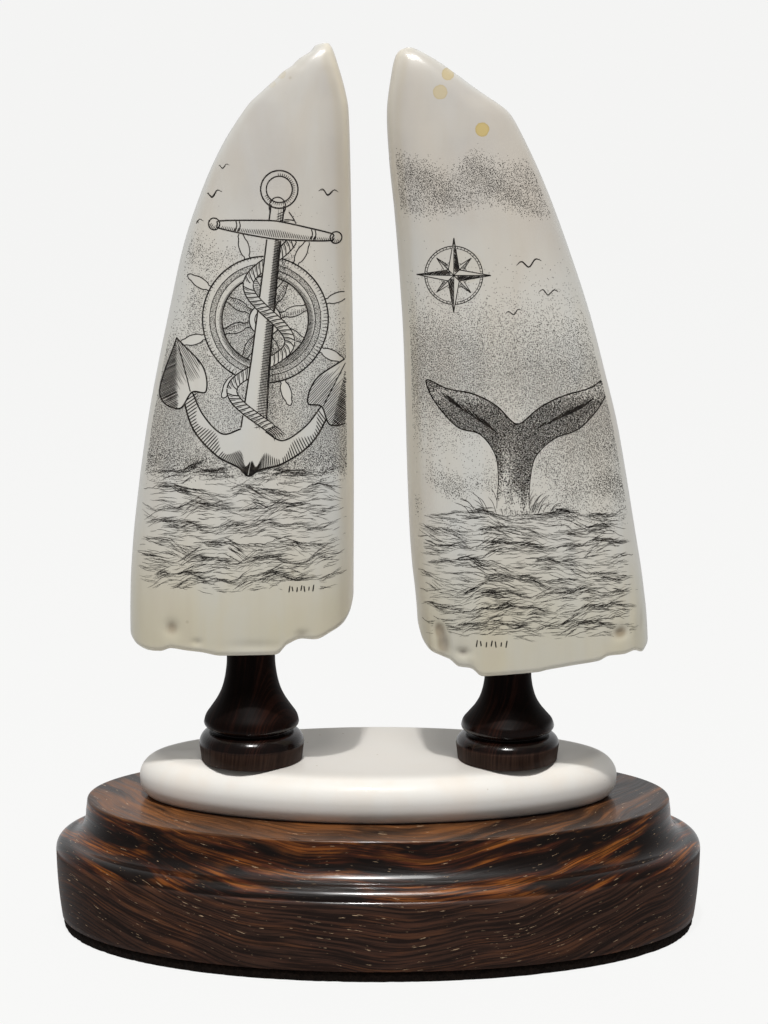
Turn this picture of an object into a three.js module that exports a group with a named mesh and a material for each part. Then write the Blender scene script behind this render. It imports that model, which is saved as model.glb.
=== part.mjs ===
// A pair of engraved whale teeth, each on a turned pedestal, on an oval plate and a moulded oval base.
// Millimetres, +Z up, front towards -Y. The origin is under the middle of the base, on the surface it
// stands on.
import * as THREE from 'three';
import { mergeVertices } from 'three/addons/utils/BufferGeometryUtils.js';

// Felt pad and wooden base
const feltThickness = 2.9;
const feltInset = 0.35;          // from the foot of the wood to the edge of the felt
const baseWidth = 160;           // over the arris of the moulding
const baseDepth = 90.6;
const baseHeight = 29.6;         // wood only
const baseSquareness = 2.05;     // 2 is an ellipse
const shoulderHeight = 17.2;     // from the foot of the wood to the arris
const wallTaper = 1.15;          // how far the wall draws in at its foot
const mouldingInset = 7.85;      // from the arris to the edge of the top face
const coveRise = 3.3;            // height of the steep part under the top face
const ovoloRise = 3.0;           // height of the quarter round above the arris
const topArris = 0.6;            // rounding of the edge of the top face

// White oval plate
const plateWidth = 118.2;
const plateDepth = 54.2;
const plateThickness = 11.5;
const plateSquareness = 1.87;
const plateShift = 0.5;          // behind the middle of the base
const plateBelly = 5.1;          // height of its widest line
const plateCrown = 7.6;          // how far in the flat top starts
const plateUndercut = 2.4;       // how far in it touches the wood

// Pedestals
const pedestalForward = 6.8;     // axes in front of the middle of the base
const leftPedestal = { x: -30.9, height: 29, foot: 12.85, heel: 12.3, bell: 11.6, neck: 5.8,
  footHeight: 4.2, footRound: 3.2 };
const rightPedestal = { x: 31.6, height: 24.3, foot: 12.65, heel: 11.9, bell: 11.35, neck: 5.6,
  footHeight: 3.9, footRound: 2.6 };
const grooveHeight = 0.7;        // above the rounding of the foot
const grooveDepth = 2.0;         // behind the widest line of the bell
const lipHeight = 1.3;           // from the groove to the widest line of the bell

// Teeth. The outline tables are thousandths: height up the tooth, then distance out from the pedestal's
// axis in widths of the tooth. Positive is away from the other tooth.
const seatMargin = 0.6;          // flat of the root beyond the top of the pedestal
const seatBlend = 2.5;           // width of the slope from that flat to the uneven root
const rootEdgeRadius = 1.5;
const leftTooth = {
  height: 142.9, width: 53.8, thickness: 30, seatTilt: -1.0,
  outer: [[1000, -335], [997, -307], [993, -296], [988, -286], [983, -267], [979, -248], [972, -224],
    [964, -203], [955, -166], [942, -130], [928, -87], [918, -58], [906, -22], [892, 7], [836, 103],
    [762, 194], [674, 275], [568, 341], [475, 396], [381, 445], [276, 488], [172, 521], [101, 534],
    [37, 538], [0, 538]],
  inner: [[1000, -362], [993, -376], [964, -403], [927, -431], [894, -447], [849, -452], [749, -457],
    [623, -461], [449, -466], [280, -467], [136, -465], [0, -463]],
  root: [[540, 22], [533, 18], [520, 15], [498, 10], [434, 5], [388, 6], [340, 12], [275, 9], [203, 6],
    [150, 2], [77, 0], [0, 0], [-68, 0], [-131, 5], [-176, 17], [-234, 25], [-301, 22], [-364, 31],
    [-417, 41], [-449, 56], [-462, 70], [-468, 80]],
};
const rightTooth = {
  height: 146.6, width: 55.6, thickness: 30, seatTilt: 5.2,
  outer: [[1000, -424], [994, -388], [979, -318], [961, -249], [929, -131], [907, -44], [898, -17],
    [860, 42], [779, 142], [680, 242], [578, 333], [482, 402], [403, 455], [359, 478], [233, 537],
    [147, 576], [78, 599], [0, 611]],
  inner: [[1000, -448], [996, -475], [987, -494], [963, -510], [895, -531], [823, -521], [742, -499],
    [639, -477], [536, -460], [403, -449], [334, -444], [216, -431], [130, -412], [78, -399],
    [0, -388]],
  root: [[612, 14], [591, 10], [575, 6], [531, 14], [493, 12], [420, 14], [376, 8], [270, 6],
    [139, 2], [78, 0], [-16, 0], [-104, 0], [-131, 4], [-174, 15], [-222, 18], [-261, 30],
    [-296, 35], [-340, 42], [-374, 56], [-394, 74], [-410, 90]],
};
// How thick the tooth is up its height, in thousandths of its thickness at the root
const thicknessShares = [[0, 985], [80, 1000], [250, 975], [420, 920], [580, 830], [700, 735],
  [800, 625], [880, 500], [930, 405], [965, 320], [985, 235], [995, 160], [1000, 100]];
const rootBlend = 0.24;          // share of the height over which the uneven root fades out
const frontSquareness = 2.8;     // sections: flatter in front, rounder behind
const backSquareness = 2.3;

const basePoints = 64;
const platePoints = 56;
const pedestalSides = 32;
const toothHalfPoints = 17;      // from the outer to the inner edge, in front and again behind

const wood = { color: 0x35190f, roughness: 0.3, metalness: 0 };
const darkWood = { color: 0x1d120e, roughness: 0.35, metalness: 0 };
const feltLook = { color: 0x1a1714, roughness: 1, metalness: 0 };
const boneLook = { color: 0xe4dfd6, roughness: 0.25, metalness: 0 };
const toothLook = { color: 0xd9d5ca, roughness: 0.2, metalness: 0 };

const rad = THREE.MathUtils.degToRad;
const clamp = THREE.MathUtils.clamp;

function ovalRing(halfWidth, halfDepth, squareness, inset, y, z, count) {
  // A superellipse drawn in by a parallel offset.
  const points = [];
  for (let i = 0; i < count; i++) {
    const angle = (i / count) * 2 * Math.PI;
    const c = Math.round(Math.cos(angle) * 1e12) / 1e12;
    const s = Math.round(Math.sin(angle) * 1e12) / 1e12;
    const power = 2 / squareness;
    const px = halfWidth * Math.sign(c) * Math.abs(c) ** power;
    const py = halfDepth * Math.sign(s) * Math.abs(s) ** power;
    const normal = new THREE.Vector2(
      Math.sign(c) * Math.abs(c) ** (2 - power) / halfWidth,
      Math.sign(s) * Math.abs(s) ** (2 - power) / halfDepth).normalize();
    points.push(new THREE.Vector3(px - normal.x * inset, py - normal.y * inset + y, z));
  }
  return points;
}

function stack(rings) {
  // Joins rings of equal length, listed from below and each counterclockwise seen from above. Both ends
  // are closed with strips between the front and the back of the ring, so a flat end stays flat.
  const count = rings[0].length;
  const position = rings.flat().flatMap((p) => [p.x, p.y, p.z]);
  const index = [];
  for (let k = 0; k + 1 < rings.length; k++) {
    for (let i = 0; i < count; i++) {
      const a = k * count + i;
      const b = k * count + (i + 1) % count;
      index.push(a, b, b + count, a, b + count, a + count);
    }
  }
  const top = (rings.length - 1) * count;
  for (let i = 0; i < count / 2; i++) {
    const [a, b] = [i, i + 1];
    const [c, d] = [(count - i) % count, (count - i - 1) % count];
    if (a !== c) {
      index.push(a, c, b);
      index.push(top + a, top + b, top + c);
    }
    if (b !== d) {
      index.push(b, c, d);
      index.push(top + b, top + d, top + c);
    }
  }
  const geometry = new THREE.BufferGeometry();
  geometry.setAttribute('position', new THREE.Float32BufferAttribute(position, 3));
  geometry.setIndex(index);
  geometry.computeVertexNormals();
  return geometry;
}

function table(rows) {
  // Reads a table of thousandths with straight lines between its rows.
  const sorted = [...rows].sort((a, b) => a[0] - b[0]);
  return (share) => {
    const at = clamp(share * 1000, sorted[0][0], sorted[sorted.length - 1][0]);
    const next = Math.max(1, sorted.findIndex((row) => row[0] >= at));
    const [x0, y0] = sorted[next - 1];
    const [x1, y1] = sorted[next];
    return THREE.MathUtils.lerp(y0, y1, (at - x0) / (x1 - x0)) / 1000;
  };
}

function quarter(from, to, bulge, steps) {
  // Points of a quarter ellipse between two points of a profile. With bulge 1 it leaves the first one
  // upright, with bulge 0 it leaves it level.
  const points = [];
  for (let i = 1; i <= steps; i++) {
    const angle = (i / steps) * Math.PI / 2;
    const across = bulge ? 1 - Math.cos(angle) : Math.sin(angle);
    const up = bulge ? Math.sin(angle) : 1 - Math.cos(angle);
    points.push([from[0] + (to[0] - from[0]) * across, from[1] + (to[1] - from[1]) * up]);
  }
  return points;
}

function mesh(name, geometry, look) {
  const part = new THREE.Mesh(geometry, new THREE.MeshStandardMaterial(look));
  part.name = name;
  return part;
}

// Base: inset from the arris, height above the foot of the wood
const ovoloEnd = [0.4 * mouldingInset, shoulderHeight + ovoloRise];
const coveEnd = [0.955 * mouldingInset, baseHeight - coveRise];
const baseProfile = [
  [wallTaper, 0], [0.62 * wallTaper, 0.2 * shoulderHeight], [0.26 * wallTaper, 0.46 * shoulderHeight],
  [0.05 * wallTaper, 0.72 * shoulderHeight], [0, 0.88 * shoulderHeight], [0.02 * wallTaper, shoulderHeight],
  ...quarter([0.02 * wallTaper, shoulderHeight], ovoloEnd, 1, 4),
  ...quarter(ovoloEnd, coveEnd, 0, 4),
  [mouldingInset, baseHeight - topArris], [mouldingInset + 0.3 * topArris, baseHeight - 0.3 * topArris],
  [mouldingInset + topArris, baseHeight],
];
const plateTop = plateThickness;
const plateProfile = [
  [plateUndercut, 0], [0.5 * plateUndercut, 0.17 * plateBelly], [0.17 * plateUndercut, 0.47 * plateBelly],
  [0, plateBelly],
  ...quarter([0, plateBelly], [plateCrown, plateTop], 1, 6),
];

function oval(profile, width, depth, squareness, shift, count) {
  return stack(profile.map(([inset, z]) =>
    ovalRing(width / 2, depth / 2, squareness, inset, shift, z, count)));
}

function pedestal({ height, foot, heel, bell, neck, footHeight, footRound }, tilt) {
  // A turned foot with a rounded top, a groove, and a bell that flares down from the neck. The top is
  // cut to the slope of the root that it carries.
  const grooveRadius = bell - grooveDepth;
  const grooveFloor = footHeight + footRound;
  const lip = grooveFloor + grooveHeight;
  const widest = lip + lipHeight;
  const profile = [[0, 0], [heel, 0], [foot, footHeight],
    ...quarter([foot, footHeight], [grooveRadius, grooveFloor], 1, 5),
    [grooveRadius, lip - 0.1], [grooveRadius + 0.35 * grooveDepth, lip],
    [bell - 0.17 * grooveDepth, lip + 0.36 * lipHeight], [bell, widest]];
  for (const [up, out] of [[0.07, 0.94], [0.18, 0.7], [0.3, 0.43], [0.43, 0.225], [0.53, 0.13],
    [0.63, 0.065], [0.77, 0.015], [1, 0]]) {
    profile.push([neck + (bell - neck) * out, widest + (height - widest) * up]);
  }
  profile.push([0, height]);
  const lathe = new THREE.LatheGeometry(profile.map(([r, z]) => new THREE.Vector2(r, z)), pedestalSides);
  lathe.rotateX(Math.PI / 2);
  lathe.deleteAttribute('uv');
  lathe.deleteAttribute('normal');
  const geometry = mergeVertices(lathe, 1e-4);
  const position = geometry.getAttribute('position');
  for (let i = 0; i < position.count; i++) {
    if (position.getZ(i) > height - 1e-3) {
      position.setZ(i, height + Math.tan(rad(tilt)) * position.getX(i));
    }
  }
  geometry.computeVertexNormals();
  return geometry;
}

function tooth({ height, width, thickness, seatTilt, outer, inner, root }, side, seatRadius) {
  // Sections up the tooth, each from the outer edge to the inner one. The root is uneven, but flat
  // where it sits, and its unevenness fades out up the tooth.
  const outerAt = table(outer);
  const innerAt = table(inner);
  const rootAt = table(root);
  const thickAt = table(thicknessShares);
  const seat = seatRadius + seatMargin;
  const rootHeight = (x) => {
    const away = THREE.MathUtils.smoothstep(Math.abs(x), seat, seat + seatBlend);
    return Math.tan(rad(seatTilt)) * x + away * Math.max(0, rootAt(x / width)) * height;
  };
  const levels = [];
  for (const angle of [0, 35, 65, 90]) {
    levels.push([rootEdgeRadius * (1 - Math.cos(rad(angle))), rootEdgeRadius * (1 - Math.sin(rad(angle)))]);
  }
  for (const share of [0.04, 0.08, 0.13, 0.19, 0.26, 0.33, 0.4, 0.47, 0.54, 0.61, 0.68, 0.74, 0.79,
    0.83, 0.865, 0.895, 0.92, 0.945, 0.963, 0.979, 0.989, 0.996, 1]) {
    levels.push([share * height, 0]);
  }
  const rings = levels.map(([z, inset]) => {
    const share = z / height;
    const fade = 1 - THREE.MathUtils.smoothstep(share, 0, rootBlend);
    const edge = (at) => {
      // The tables hold the outline with the uneven root in it, so the edge is read where it ends up.
      const lift = rootHeight(at(share) * width) * fade;
      return at((z + lift) / height) * width;
    };
    const xOut = edge(outerAt) - inset;
    const xIn = edge(innerAt) + inset;
    const middle = (xOut + xIn) / 2;
    const half = (xOut - xIn) / 2;
    const halfThick = thickAt(share) * thickness / 2 - inset;
    const ring = [];
    const count = 2 * (toothHalfPoints - 1);
    for (let i = 0; i < count; i++) {
      const angle = (i / count) * 2 * Math.PI;
      const c = Math.round(Math.cos(angle) * 1e12) / 1e12;
      const behind = i < count / 2;
      const squareness = behind ? backSquareness : frontSquareness;
      const across = Math.sign(c) * Math.abs(c) ** (2 / frontSquareness);
      const x = middle + half * across;
      const y = halfThick * Math.max(0, 1 - Math.abs(across) ** squareness) ** (1 / squareness);
      ring.push(new THREE.Vector3(x, behind ? y : -y, z + rootHeight(x) * fade));
    }
    // A left tooth is drawn mirrored, and its ring turned round again to stay counterclockwise.
    if (side > 0) return ring;
    const mirrored = ring.map((p) => new THREE.Vector3(-p.x, p.y, p.z));
    return [mirrored[0], ...mirrored.slice(1).reverse()];
  });
  return stack(rings);
}

const group = new THREE.Group();

const feltRing = (z) => ovalRing(baseWidth / 2, baseDepth / 2, baseSquareness,
  wallTaper + feltInset, 0, z, basePoints);
group.add(mesh('felt_pad', stack([feltRing(0), feltRing(feltThickness)]), feltLook));

const base = mesh('wood_base',
  oval(baseProfile, baseWidth, baseDepth, baseSquareness, 0, basePoints), wood);
base.position.z = feltThickness;
group.add(base);

const plate = mesh('bone_plate',
  oval(plateProfile, plateWidth, plateDepth, plateSquareness, plateShift, platePoints), boneLook);
plate.position.z = feltThickness + baseHeight;
group.add(plate);

const plateLevel = feltThickness + baseHeight + plateThickness;
for (const [name, stand, relic, side] of [['left', leftPedestal, leftTooth, -1],
  ['right', rightPedestal, rightTooth, 1]]) {
  const turned = mesh(`${name}_pedestal`, pedestal(stand, relic.seatTilt * side), darkWood);
  turned.position.set(stand.x, -pedestalForward, plateLevel);
  group.add(turned);
  const carved = mesh(`${name}_tooth`, tooth(relic, side, stand.neck), toothLook);
  carved.position.set(stand.x, -pedestalForward, plateLevel + stand.height);
  group.add(carved);
}

export default group;
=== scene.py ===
"""Two engraved whale teeth on turned pedestals, an oval bone plate, a moulded oval base and felt.

Lengths in the functions are millimetres, +Z up, front towards -Y, as the part's own frame has them.
"""
import math

import bpy
import numpy as np
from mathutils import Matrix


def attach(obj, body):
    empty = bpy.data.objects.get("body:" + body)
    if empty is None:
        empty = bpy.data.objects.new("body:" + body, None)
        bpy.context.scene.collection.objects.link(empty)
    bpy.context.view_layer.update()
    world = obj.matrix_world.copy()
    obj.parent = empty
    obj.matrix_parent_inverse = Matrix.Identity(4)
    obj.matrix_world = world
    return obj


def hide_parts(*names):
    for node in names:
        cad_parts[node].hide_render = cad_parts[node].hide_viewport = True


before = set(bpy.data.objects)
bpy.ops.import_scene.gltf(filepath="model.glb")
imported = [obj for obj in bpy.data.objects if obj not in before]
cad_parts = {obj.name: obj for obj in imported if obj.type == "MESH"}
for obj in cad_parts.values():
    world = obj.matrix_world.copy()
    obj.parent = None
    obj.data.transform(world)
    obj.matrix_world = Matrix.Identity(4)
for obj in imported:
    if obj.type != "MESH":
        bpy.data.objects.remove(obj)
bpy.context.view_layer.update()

MM = 0.001

bl_info = {
    "name": "Scrimshaw Teeth on a Stand",
    "version": (1, 0, 0),
    "blender": (4, 5, 0),
    "location": "3D View > Sidebar > Scrimshaw",
    "description": "Builds a pair of engraved whale teeth on a moulded stand",
    "category": "Add Mesh",
}

# Squareness n of the ovals |x/a|^n + |y/b|^n = 1, and of the teeth's sections in front and behind
BASE_SQUARENESS, PLATE_SQUARENESS, FRONT_SQUARENESS, BACK_SQUARENESS = 2.05, 1.87, 2.8, 2.3

# Base, in millimetres: how far its wall draws in at the foot, how high the quarter round and the cove
# rise, and the rounding of the top arris. Then the shares of the inset at which the two end.
WALL_TAPER, OVOLO_RISE, COVE_RISE, TOP_ARRIS, OVOLO_END, COVE_END = 1.15, 3.0, 3.3, 0.6, 0.4, 0.955

# Felt and plate, in millimetres: the felt's edge inside the wood's, the height of the plate's widest
# line, how far it tucks in below it, and how far back it lies
FELT_INSET, PLATE_BELLY, PLATE_UNDERCUT, PLATE_BACK = 0.35, 5.1, 2.4, 0.5

# Teeth: flat seat past the pedestal's neck, blend beyond it, and rounding of the root's edge, in
# millimetres, and the share of the height over which the root's unevenness dies away
SEAT_MARGIN, SEAT_BLEND, ROOT_EDGE, ROOT_BLEND = 0.6, 2.5, 1.5, 0.24

# Pictures, in millimetres: how far the ink stands off the ivory, and where the upright frames of the
# anchor and the tail stand and how they lean. Then a full turn, for the phases of the waves.
INK_LIFT = 0.035
ANCHOR_AT, ANCHOR_LEAN = (-29.6, 122.5), math.radians(6.5)
TAIL_AT, TAIL_LEAN = (30.3, 104.5), math.radians(5)
TURN = 6.28

# Heights in metres over which a finish changes: the base's arris and its top face, the plate's side
# and its top face (painted shade greys the plate's lower side and darkens its top), the foot of the
# pedestals and their flare. Then the y at which the front ends.
ARRIS_BAND, BASE_TOP_BAND = (0.0195, 0.0207), (0.0319, 0.0323)
PLATE_SIDE_SHADE_BAND, PLATE_TOP_SHADE_BAND = (0.036, 0.0425), (0.0428, 0.0439)
FOOT_BAND, FLARE_BAND = (0.0477, 0.0486), (0.0525, 0.0545)
FRONT_BAND = (-0.009, -0.0075)

# Part of each tooth's texture sheet that its sides take; the two ends lie below it
SHEET_FOOT, SHEET_SPAN = 0.12, 0.87

# Profile of the pedestals' flare in thousandths: height, then distance out from the neck
FLARE = [[0, 1000], [70, 940], [180, 700], [300, 430], [430, 225], [530, 130], [630, 65], [770, 15],
         [1000, 0]]

# Outline of each tooth in thousandths: height, then distance out from the pedestal's axis in widths.
LEFT_OUTER = [[1000, -335], [997, -307], [993, -296], [988, -286], [983, -267], [979, -248],
              [972, -224], [964, -203], [955, -166], [942, -130], [928, -87], [918, -58],
              [906, -22], [892, 7], [836, 103], [762, 194], [674, 275], [568, 341], [475, 396],
              [381, 445], [276, 488], [172, 521], [101, 534], [37, 538], [0, 538]]
LEFT_INNER = [[1000, -362], [993, -376], [964, -403], [927, -431], [894, -447], [849, -452],
              [749, -457], [623, -461], [449, -466], [280, -467], [136, -465], [0, -463]]
LEFT_ROOT = [[540, 22], [533, 18], [520, 15], [498, 10], [434, 5], [388, 6], [340, 12], [275, 9],
             [203, 6], [150, 2], [77, 0], [0, 0], [-68, 0], [-131, 5], [-176, 17], [-234, 25],
             [-301, 22], [-364, 31], [-417, 41], [-449, 56], [-462, 70], [-468, 80]]
RIGHT_OUTER = [[1000, -424], [994, -388], [979, -318], [961, -249], [929, -131], [907, -44],
               [898, -17], [860, 42], [779, 142], [680, 242], [578, 333], [482, 402], [403, 455],
               [359, 478], [233, 537], [147, 576], [78, 599], [0, 611]]
RIGHT_INNER = [[1000, -448], [996, -475], [987, -494], [963, -510], [895, -531], [823, -521],
               [742, -499], [639, -477], [536, -460], [403, -449], [334, -444], [216, -431],
               [130, -412], [78, -399], [0, -388]]
RIGHT_ROOT = [[612, 14], [591, 10], [575, 6], [531, 14], [493, 12], [420, 14], [376, 8], [270, 6],
              [139, 2], [78, 0], [-16, 0], [-104, 0], [-131, 4], [-174, 15], [-222, 18],
              [-261, 30], [-296, 35], [-340, 42], [-374, 56], [-394, 74], [-410, 90]]
THICKNESS = [[0, 985], [80, 1000], [250, 975], [420, 920], [580, 830], [700, 735], [800, 625],
             [880, 500], [930, 405], [965, 320], [985, 235], [995, 160], [1000, 100]]


# Hollows of the roots: x, z, half width, half height, depth
LEFT_HOLLOWS = [(-48.9, 79.6, 1.6, 1.9, 0.9), (-42.9, 76.4, 1.0, 0.8, 0.5),
                (-18.0, 78.0, 1.5, 1.1, 0.6), (-29.0, 75.5, 6.0, 1.2, 0.3)]
RIGHT_HOLLOWS = [(14.6, 78.6, 1.3, 1.9, 1.1), (15.6, 75.0, 1.5, 2.6, 1.2),
                 (12.5, 76.6, 0.7, 4.2, -0.5), (17.6, 75.4, 0.7, 2.9, -0.45),
                 (20.2, 73.6, 1.4, 1.1, 0.9), (22.4, 72.2, 0.8, 1.6, -0.3),
                 (57.6, 78.2, 1.7, 1.5, 1.1), (61.2, 80.5, 0.9, 5.0, -0.4),
                 (62.9, 80.5, 0.8, 5.0, 0.5)]

# Khaki rounds in the ivory: x, z, radius, strength
STAINS = [(-22.4, 209.0, 1.2, 0.2), (-24.5, 206.6, 0.9, 0.15), (16.2, 208.9, 1.5, 0.6),
          (14.4, 204.8, 1.75, 0.5), (24.1, 196.3, 1.7, 0.9), (20.5, 165.0, 4.0, 0.08)]


# Shapes

def smoothstep(x, low, high):
    """0 below low, 1 above high, and an S curve between them."""
    t = np.clip((x - low) / (high - low), 0, 1)
    return t * t * (3 - 2 * t)


def through(rows, at):
    """A smooth curve through a table's rows that never overshoots them: cubic pieces whose slope at a
    row is the harmonic mean of the slopes beside it, or level where the table turns round."""
    rows = np.array(sorted(rows), float)
    xs, ys = rows[:, 0], rows[:, 1]
    steps = np.diff(xs)
    slopes = np.diff(ys) / steps
    bends = np.zeros(len(xs))
    product = slopes[:-1] * slopes[1:]
    total = np.where(slopes[:-1] + slopes[1:] == 0, 1, slopes[:-1] + slopes[1:])
    bends[1:-1] = np.where(product > 0, 2 * product / total, 0)
    bends[0], bends[-1] = slopes[0], slopes[-1]
    at = np.clip(at, xs[0], xs[-1])
    k = np.clip(np.searchsorted(xs, at) - 1, 0, len(steps) - 1)
    t = (at - xs[k]) / steps[k]
    return ((1 + 2 * t) * (1 - t) ** 2 * ys[k] + t * (1 - t) ** 2 * steps[k] * bends[k]
            + t * t * (3 - 2 * t) * ys[k + 1] + t * t * (t - 1) * steps[k] * bends[k + 1])


def share(rows, at):
    """Reads a table of thousandths."""
    return through(rows, np.asarray(at, float) * 1000) / 1000


def put_mesh(name, points, faces, finish, loop_uv=None, colours=None):
    """Makes the object from points in millimetres and arrays of equal-sided faces."""
    mesh = bpy.data.meshes.new(name)
    mesh.vertices.add(len(points))
    mesh.vertices.foreach_set("co", (np.asarray(points) * MM).astype(np.float32).ravel())
    loops = np.concatenate([f.ravel() for f in faces]).astype(np.int32)
    sizes = np.concatenate([np.full(len(f), f.shape[1]) for f in faces])
    mesh.loops.add(len(loops))
    mesh.loops.foreach_set("vertex_index", loops)
    mesh.polygons.add(len(sizes))
    starts = np.concatenate([[0], np.cumsum(sizes)[:-1]])
    mesh.polygons.foreach_set("loop_start", starts.astype(np.int32))
    mesh.polygons.foreach_set("use_smooth", np.ones(len(sizes), bool))
    if loop_uv is not None:
        layer = mesh.uv_layers.new(name="OFBake")
        layer.data.foreach_set("uv", loop_uv.astype(np.float32).ravel())
    if colours is not None:
        layer = mesh.color_attributes.new("tint", "FLOAT_COLOR", "POINT")
        rgba = np.concatenate([colours, np.ones((len(colours), 1))], axis=1)
        layer.data.foreach_set("color", rgba.astype(np.float32).ravel())
    mesh.update(calc_edges=True)
    mesh.validate()
    mesh.materials.append(finish)
    piece = bpy.data.objects.new(name, mesh)
    bpy.context.scene.collection.objects.link(piece)
    return piece


def tube_faces(levels, count):
    """Quads between rings of count points, listed from below, each counterclockwise seen from above."""
    k, i = np.meshgrid(np.arange(levels - 1), np.arange(count), indexing="ij")
    a, b = k * count + i, k * count + (i + 1) % count
    return np.stack([a, b, b + count, a + count], axis=-1).reshape(-1, 4)


def closed_stack(name, rings, finish):
    """Joins rings (levels x count x 3) and closes each end with a fan from a point in its middle."""
    levels, count, _ = rings.shape
    points = np.concatenate([rings.reshape(-1, 3), rings[:1].mean(axis=1), rings[-1:].mean(axis=1)])
    i = np.arange(count)
    j = (i + 1) % count
    low, high = levels * count, levels * count + 1
    top = (levels - 1) * count
    caps = np.concatenate([np.stack([j, i, np.full(count, low)], 1),
                           np.stack([top + i, top + j, np.full(count, high)], 1)])
    return put_mesh(name, points, [tube_faces(levels, count), caps], finish)


def oval_rings(profile, width, depth, squareness, shift, count):
    """A superellipse |x/a|^n + |y/b|^n = 1 for each profile row (inset, height), drawn in along its own
    normals by the inset."""
    angle = np.linspace(0, 2 * np.pi, count, endpoint=False)
    c, s = np.cos(angle), np.sin(angle)
    power = 2 / squareness
    x = width / 2 * np.sign(c) * np.abs(c) ** power
    y = depth / 2 * np.sign(s) * np.abs(s) ** power
    nx = np.sign(c) * np.abs(c) ** (2 - power) / (width / 2)
    ny = np.sign(s) * np.abs(s) ** (2 - power) / (depth / 2)
    size = np.hypot(nx, ny)
    inset, height = profile[:, 0][:, None], profile[:, 1][:, None]
    return np.stack([x - nx / size * inset, y - ny / size * inset + shift, height + 0 * x], axis=-1)


def quarter(start, end, bulge, steps):
    """A quarter ellipse between two profile points: upright at the first if it bulges, else level."""
    angle = np.linspace(0, np.pi / 2, steps + 1)
    across = 1 - np.cos(angle) if bulge else np.sin(angle)
    up = np.sin(angle) if bulge else 1 - np.cos(angle)
    return np.stack([start[0] + (end[0] - start[0]) * across, start[1] + (end[1] - start[1]) * up], 1)


def chain(*pieces):
    """Joins runs of profile points and drops a point that repeats the one before it."""
    points = np.concatenate([np.atleast_2d(np.array(p, float)) for p in pieces])
    keep = np.concatenate([[True], np.hypot(*np.diff(points, axis=0).T) > 1e-6])
    return points[keep]


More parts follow.
